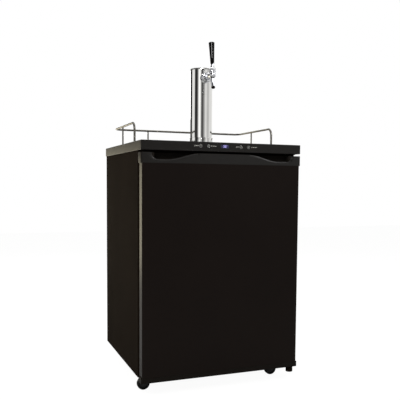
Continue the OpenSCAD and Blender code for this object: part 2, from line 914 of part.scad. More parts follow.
module tap_handle() color(rubber)
    along_lever() translate([0, 0, handle_s]) rotate_extrude() {
        polygon([[0, 0], [handle_foot_d / 2, 0], [handle_top_d / 2, handle_l - handle_edge_r],
            [0, handle_l - handle_edge_r]]);
        translate([0, handle_l - 2 * handle_edge_r])
            square([handle_top_d / 2 - handle_edge_r, 2 * handle_edge_r]);
        intersection() {
            translate([handle_top_d / 2 - handle_edge_r, handle_l - handle_edge_r]) circle(handle_edge_r);
            translate([0, handle_l - handle_edge_r]) square([handle_top_d, handle_edge_r]);
        }
    }

module faucet_shaft() color(polished_steel) {
    tip_y = lever_y - lever_arm * sin(lever_lean);
    difference() {
        bar_y(0, tip_y - yoke_half_l + yoke_nose, tap_z, yoke_r, 2 * yoke_half_l - yoke_nose);
        translate([0, tip_y, tap_z])
            cube([yoke_slot_w, 2 * yoke_slot_half_l, 4 * yoke_r], center = true);
    }
    bar_y(0, tip_y + yoke_half_l, tap_z, rod_r, shank_y0 - tip_y - yoke_half_l);
    bar_y(0, shank_y0 + slide_gap - past, tap_z, rod_r, past);
    bar_y(0, shank_y0 + slide_gap, tap_z, seal_r, seal_t);
}

// Drip tray

module drip_tray() color(dark_steel)
    difference() {
        union() {
            translate([0, 0, worktop_z1 - tray_depth + slide_gap])
                linear_extrude(tray_depth) tray_outline(-slide_gap);
            translate([0, 0, worktop_z1]) linear_extrude(tray_lip_t) tray_outline(tray_lip);
        }
        translate([0, 0, worktop_z1 - tray_depth + slide_gap + tray_floor_t])
            linear_extrude(tray_depth + 2 * tray_lip_t) tray_outline(-slide_gap - tray_wall - grate_ledge);
        translate([0, 0, grate_z0])
            linear_extrude(2 * tray_lip_t + grate_t) tray_outline(-slide_gap - tray_wall);
    }

module drip_grate() color(polished_steel) {
    slot_pitch = (tray_d - grate_edge) / grate_slots;
    translate([0, 0, grate_z0]) linear_extrude(grate_t) difference() {
        tray_outline(-2 * slide_gap - tray_wall);
        for (i = [0:grate_slots - 1])
            translate([0, tray_y + (i - (grate_slots - 1) / 2) * slot_pitch])
                rounded_rect(tray_w - 2 * grate_end, grate_slot, grate_slot / 2 - fit_gap);
    }
}

// Cabinet

module side_panel(s) color(black_steel) {
    mirror([s < 0 ? 1 : 0, 0, 0]) {
        between([panel_x, cabinet_y0, cabinet_z0], [cabinet_x, cabinet_y1, cabinet_z1]);
        between([panel_x - 2 * base_rise, cabinet_y0 + sheet_t, cabinet_z0],
            [panel_x + sheet_t / 2, cabinet_y1, cabinet_z0 + sheet_t]);
    }
}

module left_side_panel() side_panel(-1);

module right_side_panel() side_panel(1);

// The inside of the liner, grown outward by g, with the hump over the compressor bay left out
module cavity(g, y0) {
    difference() {
        between([-cavity_x - g, y0, cavity_z0 - g], [cavity_x + g, cavity_y1 + g, cavity_z1 + g]);
        between([-worktop_w, hump_y0 + g, cabinet_z0], [worktop_w, rear_y + past, hump_z1 - g]);
    }
}

module line_bore() {
    bar_z(0, tower_y, cavity_z1 - past, line_bore_d / 2, cabinet_z1 - cavity_z1 + 2 * past);
}

module gas_bore() {
    at_gas_port() bar_y(0, cavity_y1 - past, 0, grommet_r + fit_gap, back_wall + 2 * past);
}

module front_frame() color(black_steel)
    difference() {
        between([-panel_x, cabinet_y0, cabinet_z0], [panel_x, cabinet_y0 + sheet_t, cabinet_z1]);
        between([-cavity_x - liner_t, cabinet_y0 - past, cavity_z0 - liner_t],
            [cavity_x + liner_t, cabinet_y0 + sheet_t + past, cavity_z1 + liner_t]);
        at_hinge_screws() screw_clearance();
    }

module at_casters() {
    for (x = [-caster_x, caster_x], y = [caster_front_y, caster_back_y])
        translate([x, y, 0]) children();
}

// Foam boards round the liner and over the compressor bay, with a thin joint between them
module foam_boards() {
    between([-panel_x, foam_y0, foam_top], [panel_x, foam_y1, cabinet_z1]);
    between([-panel_x, foam_y0, base_z1], [panel_x, foam_bay_y, foam_floor]);
    for (s = [0, 1]) mirror([s, 0, 0]) {
        between([foam_x, foam_y0, foam_floor + foam_joint],
            [panel_x, foam_bay_y, foam_top - foam_joint]);
        between([foam_x, foam_bay_y + foam_joint, foam_bay_z],
            [panel_x, foam_y1, foam_top - foam_joint]);
    }
    between([foam_joint - foam_x, hump_y0 + liner_t, foam_floor + foam_joint],
        [foam_x - foam_joint, foam_bay_y, foam_hump]);
    between([foam_joint - foam_x, foam_bay_y + foam_joint, foam_bay_z],
        [foam_x - foam_joint, foam_y1, foam_hump]);
    between([foam_joint - foam_x, cavity_y1 + liner_t, foam_hump + foam_joint],
        [foam_x - foam_joint, foam_y1, foam_top - foam_joint]);
}

module insulation() color(foam)
    difference() {
        foam_boards();
        line_bore();
        gas_bore();
        at_casters() bar_z(0, 0, base_z0, socket_r, base_t + socket_h);
        at_hinge_screws() screw_clearance();
        at_back_screws() screw_clearance();
    }

module inner_liner() color(white_plastic)
    difference() {
        cavity(liner_t, cabinet_y0);
        cavity(0, cabinet_y0 - past);
        line_bore();
        gas_bore();
    }

module back_panel() color(dark_steel)
    difference() {
        union() {
            between([-panel_x, back_y - sheet_t, bay_z1], [panel_x, back_y, cabinet_z1]);
            between([-panel_x, bay_y0 - sheet_t, bay_z1], [panel_x, back_y, bay_z1 + sheet_t]);
            between([-panel_x, bay_y0 - sheet_t, base_z1], [panel_x, bay_y0, bay_z1 + sheet_t]);
        }
        gas_bore();
        at_back_screws() screw_clearance();
    }

module base_pan() color(dark_steel)
    difference() {
        union() {
            between([-panel_x, cabinet_y0 + sheet_t, base_z0], [panel_x, cabinet_y1, base_z1]);
            at_casters() bar_z(0, 0, base_z0, socket_r, base_t + socket_h);
        }
        at_casters() bar_z(0, 0, base_z0 - past, stem_d / 2 + run_gap, base_t + socket_h + 2 * past);
    }

module keg_platform() color(galvanised)
    translate([0, (cabinet_y0 + hump_y0) / 2, cavity_z0])
        linear_extrude(platform_t)
            rounded_rect(2 * (cavity_x - platform_gap),
                hump_y0 - cabinet_y0 - 2 * platform_end, platform_r);

// Cold unit inside the cabinet

module evaporator_cover() color(white_plastic) {
    fan_hole_r = fan_d / 2 + fan_gap;
    inside_x = evaporator_w / 2 - evaporator_wall;
    vent_pitch = (evaporator_w - 2 * vent_w) / vent_count;
    difference() {
        between([-evaporator_w / 2, evaporator_y0, evaporator_z0],
            [evaporator_w / 2, cavity_y1, evaporator_z1]);
        between([-inside_x, evaporator_y0 + evaporator_wall, evaporator_z0 + evaporator_wall],
            [inside_x, cavity_y1 + past, evaporator_z1 - evaporator_wall]);
        bar_y(0, evaporator_y0 - past, fan_z, fan_hole_r, evaporator_wall + 2 * past);
        for (i = [0:vent_count - 1])
            translate([(i - (vent_count - 1) / 2) * vent_pitch, evaporator_y0, evaporator_z0 + vent_rise])
                cube([vent_w, 4 * evaporator_wall, vent_h], center = true);
    }
    for (a = [0, 90])
        translate([0, evaporator_y0 + evaporator_wall / 2, fan_z]) rotate([0, a, 0])
            cube([2 * fan_hole_r + past, evaporator_wall, guard_bar], center = true);
    for (r = [fan_hole_r / 3, 2 * fan_hole_r / 3])
        difference() {
            bar_y(0, evaporator_y0, fan_z, r + guard_bar / 2, evaporator_wall);
            bar_y(0, evaporator_y0 - past, fan_z, r - guard_bar / 2, evaporator_wall + 2 * past);
        }
}

module fan_motor() color(rubber) {
    bar_y(0, cavity_y1 - motor_l, fan_z, motor_r, motor_l);
    bar_y(0, fan_y0, fan_z, motor_shaft_r, cavity_y1 - motor_l - fan_y0 + past);
}

module fan_rotor() color(black_plastic)
    translate([0, fan_y0, fan_z]) difference() {
        union() {
            bar_y(0, 0, 0, fan_hub_r, fan_depth);
            for (i = [0:fan_blades - 1])
                rotate([0, i * 360 / fan_blades, 0])
                    translate([(fan_d / 2 + fan_hub_r) / 2 - blade_root, fan_depth / 2, 0])
                        rotate([fan_pitch, 0, 0])
                            cube([fan_d / 2 - fan_hub_r, fan_depth, blade_t], center = true);
        }
        bar_y(0, -past, 0, motor_shaft_r + run_gap, fan_depth + 2 * past);
    }

// Cold unit in the bay

module at_mounts() {
    for (x = [-foot_x, foot_x], y = [-foot_y, foot_y])
        translate([compressor_x + x, compressor_y + y, base_z1]) children();
}

module compressor_mounts() color(rubber)
    at_mounts() cylinder(r = rubber_r, h = rubber_h);

module compressor() color(rubber) {
    translate([compressor_x, compressor_y, compressor_z0]) {
        translate([0, 0, foot_plate_t / 2])
            cube([2 * (foot_x + rubber_r), 2 * (foot_y + rubber_r), foot_plate_t], center = true);
        rotate_extrude() {
            translate([0, foot_plate_t / 2])
                square([compressor_r - compressor_dome_r, compressor_h - foot_plate_t / 2]);
            translate([0, compressor_dome_r]) square([compressor_r, compressor_h - 2 * compressor_dome_r]);
            for (z = [compressor_dome_r, compressor_h - compressor_dome_r])
                translate([compressor_r - compressor_dome_r, z]) circle(compressor_dome_r);
        }
    }
    bar_y(compressor_x, compressor_y, discharge_z, discharge_r, condenser_y - compressor_y);
    translate([compressor_x, condenser_y, discharge_z]) {
        sphere(discharge_elbow_r);
        rotate([0, 90, 0]) cylinder(r = discharge_r, h = discharge_l);
    }
}

// A quarter bend of the condenser tube in the X-Z plane, from the angle a
module tube_bend(x, z, r, a, sweep) {
    translate([x, condenser_y, z]) rotate([90, 0, 0]) rotate([0, 0, a])
        rotate_extrude(angle = sweep) translate([r, 0]) circle(condenser_r);
}

module tube_x(x0, x1, z) {
    translate([x0, condenser_y, z]) rotate([0, 90, 0]) cylinder(r = condenser_r, h = x1 - x0);
}

module condenser() color(dark_steel) {
    drop_x = condenser_x1 + condenser_bend_r;
    for (i = [0:condenser_rows - 1])
        tube_x(condenser_x0, condenser_x1, condenser_z0 + i * condenser_pitch);
    for (i = [0:condenser_rows - 2])
        tube_bend(i % 2 == 0 ? condenser_x0 : condenser_x1, condenser_z0 + (i + 0.5) * condenser_pitch,
            condenser_pitch / 2, i % 2 == 0 ? 90 : -90, 180);
    for (i = [0:condenser_wires - 1])
        translate([condenser_x0 + (i + 0.5) * (condenser_x1 - condenser_x0) / condenser_wires,
            condenser_y + condenser_r + wire_t / 2 - wire_bite, (condenser_z0 + condenser_z1) / 2])
            cube([wire_t, wire_t, condenser_z1 - condenser_z0 + 2 * wire_over], center = true);
    for (x = [condenser_x0 + bracket_w, condenser_x1 - bracket_w], z = [condenser_z0, condenser_z1])
        between([x - bracket_w / 2, back_y, z - bracket_w / 2],
            [x + bracket_w / 2, condenser_y, z + bracket_w / 2]);
    tube_bend(condenser_x1, condenser_z0 - condenser_bend_r, condenser_bend_r, 0, 90);
    bar_z(drop_x, condenser_y, discharge_z + condenser_bend_r, condenser_r,
        condenser_z0 - discharge_z - 2 * condenser_bend_r);
    tube_bend(condenser_x1, discharge_z + condenser_bend_r, condenser_bend_r, -90, 90);
    tube_x(compressor_x + discharge_l, condenser_x1, discharge_z);
}

module gas_grommet() color(rubber)
    at_gas_port() difference() {
        union() {
            bar_y(0, cavity_y1, 0, grommet_r, back_wall);
            bar_y(0, cavity_y1 - grommet_flange_t, 0, grommet_flange_r, grommet_flange_t);
            bar_y(0, back_y, 0, grommet_flange_r, grommet_flange_t);
        }
        bar_y(0, cavity_y1 - grommet_flange_t - past, 0, gas_bore_d / 2,
            back_wall + 2 * grommet_flange_t + 2 * past);
    }

module cord_gland() color(rubber)
    translate([inlet_x, back_y, inlet_z]) difference() {
        union() {
            bar_y(0, 0, 0, inlet_flange_r, inlet_flange_t);
            bar_y(0, 0, 0, inlet_r, inlet_l);
        }
        bar_y(0, inlet_flange_t, 0, inlet_bore_r, inlet_l);
    }

// Door hinge

module upper_hinge() color(black_steel)
    difference() {
        union() {
            bar_z(hinge_x, hinge_y, worktop_z0 - hinge_t, hinge_eye_r, hinge_t);
            between([hinge_x - hinge_eye_r, hinge_y, worktop_z0 - hinge_t],
                [hinge_x + hinge_eye_r, cabinet_y0, worktop_z0]);
            between([hinge_x - hinge_leaf, cabinet_y0 - hinge_t, worktop_z0 - hinge_leaf_h],
                [hinge_x + hinge_leaf, cabinet_y0, worktop_z0]);
            bar_z(hinge_x, hinge_y, door_z1 - hinge_pin_depth, hinge_pin_r,
                worktop_z0 - door_z1 + hinge_pin_depth);
        }
        at_hinge_screws() screw_clearance();
    }

module lower_hinge() color(black_steel)
    difference() {
        union() {
            bar_z(hinge_x, hinge_y, lower_hinge_z0, hinge_eye_r, hinge_t);
            between([hinge_x - hinge_eye_r, hinge_y, lower_hinge_z0],
                [hinge_x + hinge_eye_r, cabinet_y0, lower_hinge_z1]);
            between([hinge_x - hinge_leaf, cabinet_y0 - hinge_t, lower_hinge_z0],
                [hinge_x + hinge_leaf, cabinet_y0, lower_leaf_z1]);
            bar_z(hinge_x, hinge_y, lower_hinge_z0 - hinge_boss_h, hinge_boss_d / 2, hinge_boss_h);
            bar_z(hinge_x, hinge_y, lower_hinge_z0, hinge_pin_r,
                door_z0 + hinge_pin_depth - lower_hinge_z0);
        }
        at_hinge_screws() screw_clearance();
    }

module cabinet_screws() color(galvanised) {
    at_back_screws() screw(screw_r, screw_head_r, screw_head_h, screw_l);
    at_hinge_screws() screw(screw_r, screw_head_r, screw_head_h, screw_l);
}

// Door

// The door seen from above, with round front edges, drawn in by an inset
module door_outline(w, inset) {
    intersection() {
        translate([0, door_y1]) rounded_rect(w - 2 * inset, 2 * (door_t - inset), door_edge_r - inset);
        translate([-w / 2, front_y]) square([w, door_t]);
    }
}

module door_skin() color(dark_steel)
    translate([0, 0, skin_z0]) linear_extrude(skin_z1 - skin_z0) difference() {
        door_outline(door_w, 0);
        door_outline(door_w, sheet_t);
    }

module door_foam() color(foam) {
    difference() {
        translate([0, 0, skin_z0]) linear_extrude(skin_z1 - skin_z0) door_outline(door_w, sheet_t);
        between([-worktop_w, door_y1 - liner_t, 0], [worktop_w, door_y1 + past, worktop_z1]);
    }
    between([-plug_x + liner_t, door_y1 - liner_t - past, plug_z0 + liner_t],
        [plug_x - liner_t, plug_y1 - liner_t, plug_z1 - liner_t]);
}

module door_liner() color(white_plastic)
    difference() {
        union() {
            between([-door_w / 2 + sheet_t, door_y1 - liner_t, skin_z0],
                [door_w / 2 - sheet_t, door_y1, skin_z1]);
            between([-plug_x, door_y1 - liner_t, plug_z0], [plug_x, plug_y1, plug_z1]);
        }
        between([-plug_x + liner_t, door_y1 - liner_t - past, plug_z0 + liner_t],
            [plug_x - liner_t, plug_y1 - liner_t, plug_z1 - liner_t]);
    }

// Outline of one grip in the front lip, X and Z, with its long slope as half a cosine wave
function grip_points(steps) = [
    [grip_in, door_z1 + past],
    for (i = [0:steps])
        [grip_in + (grip_flat - grip_in) * i / steps,
            door_z1 - grip_depth * (1 - cos(180 * i / steps)) / 2],
    for (i = [0:steps])
        [grip_out - grip_end + grip_end * sin(90 * i / steps),
            door_z1 - grip_depth * cos(90 * i / steps)],
    [grip_out, door_z1 + past]
];

module grip() {
    pocket_in = grip_in + pocket_inset;
    translate([0, front_y + grip_lip, 0]) rotate([90, 0, 0])
        linear_extrude(grip_lip + past) polygon(grip_points(16));
    between([pocket_in, front_y + grip_lip - cut_overlap, door_z1 - grip_depth - pocket_drop],
        [grip_out - grip_end / 2, front_y + grip_lip + pocket_d, door_z1 + past]);
}

module hinge_bore(z) {
    bar_z(hinge_x, hinge_y, z, hinge_pin_r + run_gap, hinge_pin_depth + hinge_pin_end_gap + past);
}

module door_top_cap() color(black_plastic)
    difference() {
        translate([0, 0, skin_z1]) linear_extrude(top_cap_h) door_outline(worktop_w, 0);
        grip();
        mirror([1, 0, 0]) grip();
        hinge_bore(door_z1 - hinge_pin_depth - hinge_pin_end_gap);
    }

module door_bottom_cap() color(black_plastic)
    difference() {
        translate([0, 0, door_z0]) linear_extrude(bottom_cap_h) door_outline(worktop_w, 0);
        hinge_bore(door_z0 - past);
    }

// One layer of the gasket: a frame, w wide, from y0 to y1
module gasket_layer(inset, w, y0, y1) {
    difference() {
        between([-gasket_x + inset, y0, gasket_z0 + inset], [gasket_x - inset, y1, gasket_z1 - inset]);
        between([-gasket_x + inset + w, y0 - past, gasket_z0 + inset + w],
            [gasket_x - inset - w, y1 + past, gasket_z1 - inset - w]);
    }
}

module door_gasket() color(rubber) {
    lip = 5;
    waist = 4;
    gasket_layer(0, gasket_w, door_y1, door_y1 + lip);
    gasket_layer(waist, gasket_w - 2 * waist, door_y1, door_y1 + gasket_t);
    gasket_layer(0, gasket_w, door_y1 + gasket_t - lip, door_y1 + gasket_t);
}

// Casters, modelled about their swivel axis. The front wheels trail towards -X, the rear ones towards +X

module caster_fork(x, y, turn) color(rubber)
    translate([x, y, 0]) rotate([0, 0, turn]) {
        neck_z = fork_head_z0 + fork_head_t;
        leg_y = wheel_w / 2 + fork_gap;
        bar_z(0, 0, fork_head_z0, fork_head_r, fork_head_t);
        bar_z(0, 0, neck_z, socket_r, base_z0 - slide_gap - neck_z);
        bar_z(0, 0, neck_z, stem_d / 2, base_z1 + socket_h - neck_z);
        for (s = [-1, 1])
            translate([0, s * (leg_y + fork_leg_t / 2) + fork_leg_t / 2, 0]) rotate([90, 0, 0])
                linear_extrude(fork_leg_t) {
                    polygon([[-trail - fork_eye_r, wheel_d / 2],
                        [-fork_back, fork_head_z0 + fork_head_t / 2],
                        [fork_front, fork_head_z0 + fork_head_t / 2],
                        [-trail + fork_eye_r, wheel_d / 2]]);
                    translate([-trail, wheel_d / 2]) circle(fork_eye_r);
                }
        bar_y(-trail, -leg_y - fork_leg_t, wheel_d / 2, axle_d / 2, 2 * (leg_y + fork_leg_t));
    }

module caster_wheel(x, y, turn) color(rubber)
    translate([x - trail * cos(turn), y, wheel_d / 2]) rotate([90, 0, 0]) {
        edge_r = 3;
        hub_wall = 4;
        hub_r = axle_d / 2 + hub_wall;
        tread_t = 7;
        rim_r = wheel_d / 2 - tread_t;
        dish = 2.5;
        rotate_extrude() difference() {
            union() {
                translate([axle_d / 2 + run_gap, -wheel_w / 2])
                    square([wheel_d / 2 - edge_r - axle_d / 2 - run_gap, wheel_w]);
                translate([wheel_d / 2 - 2 * edge_r, -wheel_w / 2 + edge_r])
                    square([2 * edge_r, wheel_w - 2 * edge_r]);
                for (s = [-1, 1])
                    translate([wheel_d / 2 - edge_r, s * (wheel_w / 2 - edge_r)]) circle(edge_r);
            }
            for (s = [-1, 1])
                translate([(hub_r + rim_r) / 2, s * wheel_w / 2])
                    square([rim_r - hub_r, 2 * dish], center = true);
        }
    }

module front_left_fork() caster_fork(-caster_x, caster_front_y, 0);

module front_left_wheel() caster_wheel(-caster_x, caster_front_y, 0);

module front_right_fork() caster_fork(caster_x, caster_front_y, 0);

module front_right_wheel() caster_wheel(caster_x, caster_front_y, 0);

module rear_left_fork() caster_fork(-caster_x, caster_back_y, 180);

module rear_left_wheel() caster_wheel(-caster_x, caster_back_y, 180);

module rear_right_fork() caster_fork(caster_x, caster_back_y, 180);

module rear_right_wheel() caster_wheel(caster_x, caster_back_y, 180);

worktop();
bay_cover();
display_window();
control_board();
power_button();
light_button();
raise_button();
lower_button();
guard_rail();
rail_collars();
tower_flange();
tower_screws();
tower_column();
tower_cap();
drink_line();
shank();
shank_collar();
shank_nut();
coupling_nut();
faucet_body();
faucet_bonnet();
tap_lever();
handle_ferrule();
tap_handle();
faucet_shaft();
drip_tray();
drip_grate();
left_side_panel();
right_side_panel();
front_frame();
insulation();
inner_liner();
back_panel();
base_pan();
keg_platform();
evaporator_cover();
fan_motor();
fan_rotor();
compressor();
compressor_mounts();
condenser();
gas_grommet();
cord_gland();
upper_hinge();
lower_hinge();
cabinet_screws();
door_skin();
door_foam();
door_liner();
door_top_cap();
door_bottom_cap();
door_gasket();
front_left_fork();
front_left_wheel();
front_right_fork();
front_right_wheel();
rear_left_fork();
rear_left_wheel();
rear_right_fork();
rear_right_wheel();
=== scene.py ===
# Kegerator in a plain studio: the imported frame, its finishes and the finer pieces on it.
import math

import bmesh
import bpy
from mathutils import Matrix, Vector


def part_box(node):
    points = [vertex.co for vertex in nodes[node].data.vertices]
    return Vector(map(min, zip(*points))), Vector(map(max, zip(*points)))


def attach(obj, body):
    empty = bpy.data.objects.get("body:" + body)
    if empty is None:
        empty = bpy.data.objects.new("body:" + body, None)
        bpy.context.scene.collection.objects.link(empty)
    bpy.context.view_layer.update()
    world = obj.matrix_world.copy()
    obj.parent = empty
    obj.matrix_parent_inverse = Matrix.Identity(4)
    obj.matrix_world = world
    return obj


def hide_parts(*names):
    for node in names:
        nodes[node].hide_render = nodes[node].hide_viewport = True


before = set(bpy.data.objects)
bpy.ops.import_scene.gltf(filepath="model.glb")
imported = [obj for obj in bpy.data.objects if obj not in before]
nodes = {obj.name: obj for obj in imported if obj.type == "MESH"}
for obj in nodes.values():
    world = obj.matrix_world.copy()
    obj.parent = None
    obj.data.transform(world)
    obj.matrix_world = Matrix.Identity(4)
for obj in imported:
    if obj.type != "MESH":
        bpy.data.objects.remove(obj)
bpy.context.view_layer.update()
scene = bpy.context.scene
mm = 0.001
print("frame loaded:", len(nodes), "nodes")


def colour(hexCode):
    parts = [int(hexCode[i:i + 2], 16) / 255 for i in (1, 3, 5)]
    return [p / 12.92 if p <= 0.04045 else ((p + 0.055) / 1.055) ** 2.4 for p in parts] + [1.0]


def addNode(tree, kind, values=None, links=None, **settings):
    node = tree.nodes.new(kind)
    for key, value in settings.items():
        setattr(node, key, value)
    for socket, value in (values or {}).items():
        node.inputs[socket].default_value = value
    for socket, source in (links or {}).items():
        tree.links.new(source, node.inputs[socket])
    return node


# Camera, fitted to the cabinet's corners

photoCamera = {
    "lens": 53.78,
    "shift": (-0.0398, 0.0656),
    "place": (-0.81844, -2.26003, 0.73898),
    "yaw": 21.809,
    "pitch": -3.980,
    "roll": 0.491,
}


def addCamera(look):
    yaw, pitch, roll = (math.radians(look[k]) for k in ("yaw", "pitch", "roll"))
    across = Vector((math.cos(yaw), -math.sin(yaw), 0))
    level = Vector((math.sin(yaw), math.cos(yaw), 0))
    rise = Vector((0, 0, 1))
    ahead = level * math.cos(pitch) + rise * math.sin(pitch)
    head = rise * math.cos(pitch) - level * math.sin(pitch)
    right = across * math.cos(roll) + head * math.sin(roll)
    top = head * math.cos(roll) - across * math.sin(roll)
    data = bpy.data.cameras.new("photo camera")
    data.sensor_width = 36
    data.lens = look["lens"]
    data.shift_x, data.shift_y = look["shift"]
    camera = bpy.data.objects.new("photo camera", data)
    scene.collection.objects.link(camera)
    turn = Matrix((right, top, -ahead)).transposed().to_4x4()
    camera.matrix_world = Matrix.Translation(look["place"]) @ turn
    scene.camera = camera


addCamera(photoCamera)
print("camera set")

# Studio: a white sweep, soft boxes, and light and dark flags that bright metal mirrors

studio = {
    "ambient": 0.42,  # even light from all round
    "glossy": 1.36,  # strength of the flags
    "flags": [  # azimuth from the front, degrees, and what glossy metal sees there
        (-180, 0.80), (-172, 0.20), (-167, 0.01), (-134, 0.01), (-128, 0.70), (-108, 0.80),
        (-95, 0.70), (-88, 0.04), (-72, 0.01), (-58, 0.10), (-50, 0.62), (-43, 1.0), (-34, 1.0),
        (-27, 0.74), (-19, 0.12), (-6, 0.05), (4, 0.22), (15, 0.45), (27, 0.76), (38, 0.60),
        (51, 0.44), (64, 0.52), (80, 0.76), (98, 0.66), (124, 0.78), (180, 0.80),
    ],
    "flagTop": (0.28, 0.50),  # height, as the sine of elevation, over which the flags end
    "ceiling": 0.04,
    "floorSize": 14.0,
    "floorTone": "#c4c4c2",
    "floorWhite": 0.86,  # share of plain white that the camera sees in the paper
    "floorGlow": 1.11,
    "floorShine": 0.1,  # how far glossy metal sees the white floor
}
# Glossy surfaces don't show a box with mirrored off, and they alone show one with diffuse off.
softBoxes = {
    "key box": {"place": (-2.3, -2.5, 3.0), "size": (1.8, 1.5), "watts": 84, "mirrored": False},
    "fill box": {"place": (2.6, -1.6, 3.0), "size": (1.4, 1.4), "watts": 30},
    "top box": {"place": (0.0, 0.4, 3.6), "size": (2.2, 2.2), "watts": 46},
    "rear box": {"place": (0.6, 3.2, 2.2), "size": (1.8, 1.8), "watts": 30},
    "front strip": {"place": (0.2, -2.1, 2.6), "size": (2.4, 0.5), "watts": 9},
    "low strip": {"place": (-0.95, 2.5, 0.50), "size": (1.8, 0.9), "watts": 14, "colour": "#fff4d4"},
    "side box": {"place": (-1.9, 0.8, 1.9), "size": (0.8, 0.8), "watts": 12, "mirrored": False},
    "handle strip": {"place": (-0.82, -2.2, 2.02), "size": (0.3, 0.5), "watts": 0.6, "diffuse": False,
                     "aim": (0, -0.16, 1.2), "spread": 16},
}


def addStudio(look):
    world = bpy.data.worlds.new("white studio")
    scene.world = world
    world.use_nodes = True
    tree = world.node_tree
    tree.nodes.clear()
    rays = addNode(tree, "ShaderNodeLightPath")
    place = addNode(tree, "ShaderNodeTexCoord")
    part = addNode(tree, "ShaderNodeSeparateXYZ", links={"Vector": place.outputs["Generated"]})
    front = addNode(tree, "ShaderNodeMath", values={1: -1.0}, links={0: part.outputs["Y"]},
                    operation="MULTIPLY")
    turn = addNode(tree, "ShaderNodeMath", links={0: part.outputs["X"], 1: front.outputs[0]},
                   operation="ARCTAN2")
    share = addNode(tree, "ShaderNodeMapRange", values={"From Min": -math.pi, "From Max": math.pi},
                    links={"Value": turn.outputs[0]})
    ramp = addNode(tree, "ShaderNodeValToRGB", links={"Fac": share.outputs[0]})
    while len(ramp.color_ramp.elements) < len(look["flags"]):
        ramp.color_ramp.elements.new(1.0)
    for stop, (azimuth, level) in zip(ramp.color_ramp.elements, look["flags"]):
        stop.position = (azimuth + 180) / 360
        stop.color = (level, level, level, 1)
    start, end = look["flagTop"]
    height = addNode(tree, "ShaderNodeMapRange", values={"From Min": start, "From Max": end},
                     links={"Value": part.outputs["Z"]})
    above = [look["ceiling"]] * 3 + [1]
    boxes = addNode(tree, "ShaderNodeMix", values={7: above}, data_type="RGBA",
                    links={0: height.outputs[0], 6: ramp.outputs["Color"]})
    diffuse = addNode(tree, "ShaderNodeBackground", values={"Strength": look["ambient"]})
    glossy = addNode(tree, "ShaderNodeBackground", values={"Strength": look["glossy"]},
                     links={"Color": boxes.outputs[2]})
    white = addNode(tree, "ShaderNodeBackground", values={"Color": (1, 1, 1, 1)})
    seen = addNode(tree, "ShaderNodeMath", operation="MAXIMUM",
                   links={0: rays.outputs["Is Camera Ray"], 1: rays.outputs["Is Transmission Ray"]})
    shine = addNode(tree, "ShaderNodeMixShader",
                    links={0: rays.outputs["Is Glossy Ray"], 1: diffuse.outputs[0], 2: glossy.outputs[0]})
    mixed = addNode(tree, "ShaderNodeMixShader",
                    links={0: seen.outputs[0], 1: shine.outputs[0], 2: white.outputs[0]})
    addNode(tree, "ShaderNodeOutputWorld", links={"Surface": mixed.outputs[0]})

    half = look["floorSize"] / 2
    sheet = bpy.data.meshes.new("studio floor")
    corners = [(-half, -half, 0), (half, -half, 0), (half, half, 0), (-half, half, 0)]
    sheet.from_pydata(corners, [], [(0, 1, 2, 3)])
    floor = bpy.data.objects.new("studio floor", sheet)
    scene.collection.objects.link(floor)
    paper = bpy.data.materials.new("white paper sweep")
    paper.use_nodes = True
    tree = paper.node_tree
    shader = tree.nodes["Principled BSDF"]
    shader.inputs["Base Color"].default_value = colour(look["floorTone"])
    shader.inputs["Roughness"].default_value = 0.9
    rays = addNode(tree, "ShaderNodeLightPath")
    glow = addNode(tree, "ShaderNodeEmission", values={"Strength": look["floorGlow"]})
    seen = addNode(tree, "ShaderNodeMath", values={1: look["floorShine"]}, operation="MULTIPLY_ADD",
                   links={0: rays.outputs["Is Glossy Ray"], 2: rays.outputs["Is Camera Ray"]})
    share = addNode(tree, "ShaderNodeMath", values={1: look["floorWhite"]}, operation="MULTIPLY",
                    links={0: seen.outputs[0]})
    mixed = addNode(tree, "ShaderNodeMixShader",
                    links={0: share.outputs[0], 1: shader.outputs[0], 2: glow.outputs[0]})
    tree.links.new(mixed.outputs[0], tree.nodes["Material Output"].inputs["Surface"])
    sheet.materials.append(paper)


def addSoftBoxes(boxes):
    for name, box in boxes.items():
        data = bpy.data.lights.new(name, "AREA")
        data.shape = "RECTANGLE"
        data.size, data.size_y = box["size"]
        data.energy = box["watts"]
        data.spread = math.radians(box.get("spread", 180))
        data.color = colour(box.get("colour", "#ffffff"))[:3]
        lamp = bpy.data.objects.new(name, data)
        scene.collection.objects.link(lamp)
        lamp.location = box["place"]
        aim = Vector(box.get("aim", (0, 0, 0.6)))
        lamp.rotation_euler = (aim - lamp.location).to_track_quat("-Z", "Y").to_euler()
        lamp.visible_glossy = box.get("mirrored", True)
        lamp.visible_diffuse = box.get("diffuse", True)


addStudio(studio)
addSoftBoxes(softBoxes)
scene.view_settings.view_transform = "Standard"
print("studio lit")

# Finishes. Pattern sizes are in millimetres. A grain too fine to show at this size is drawn coarser.


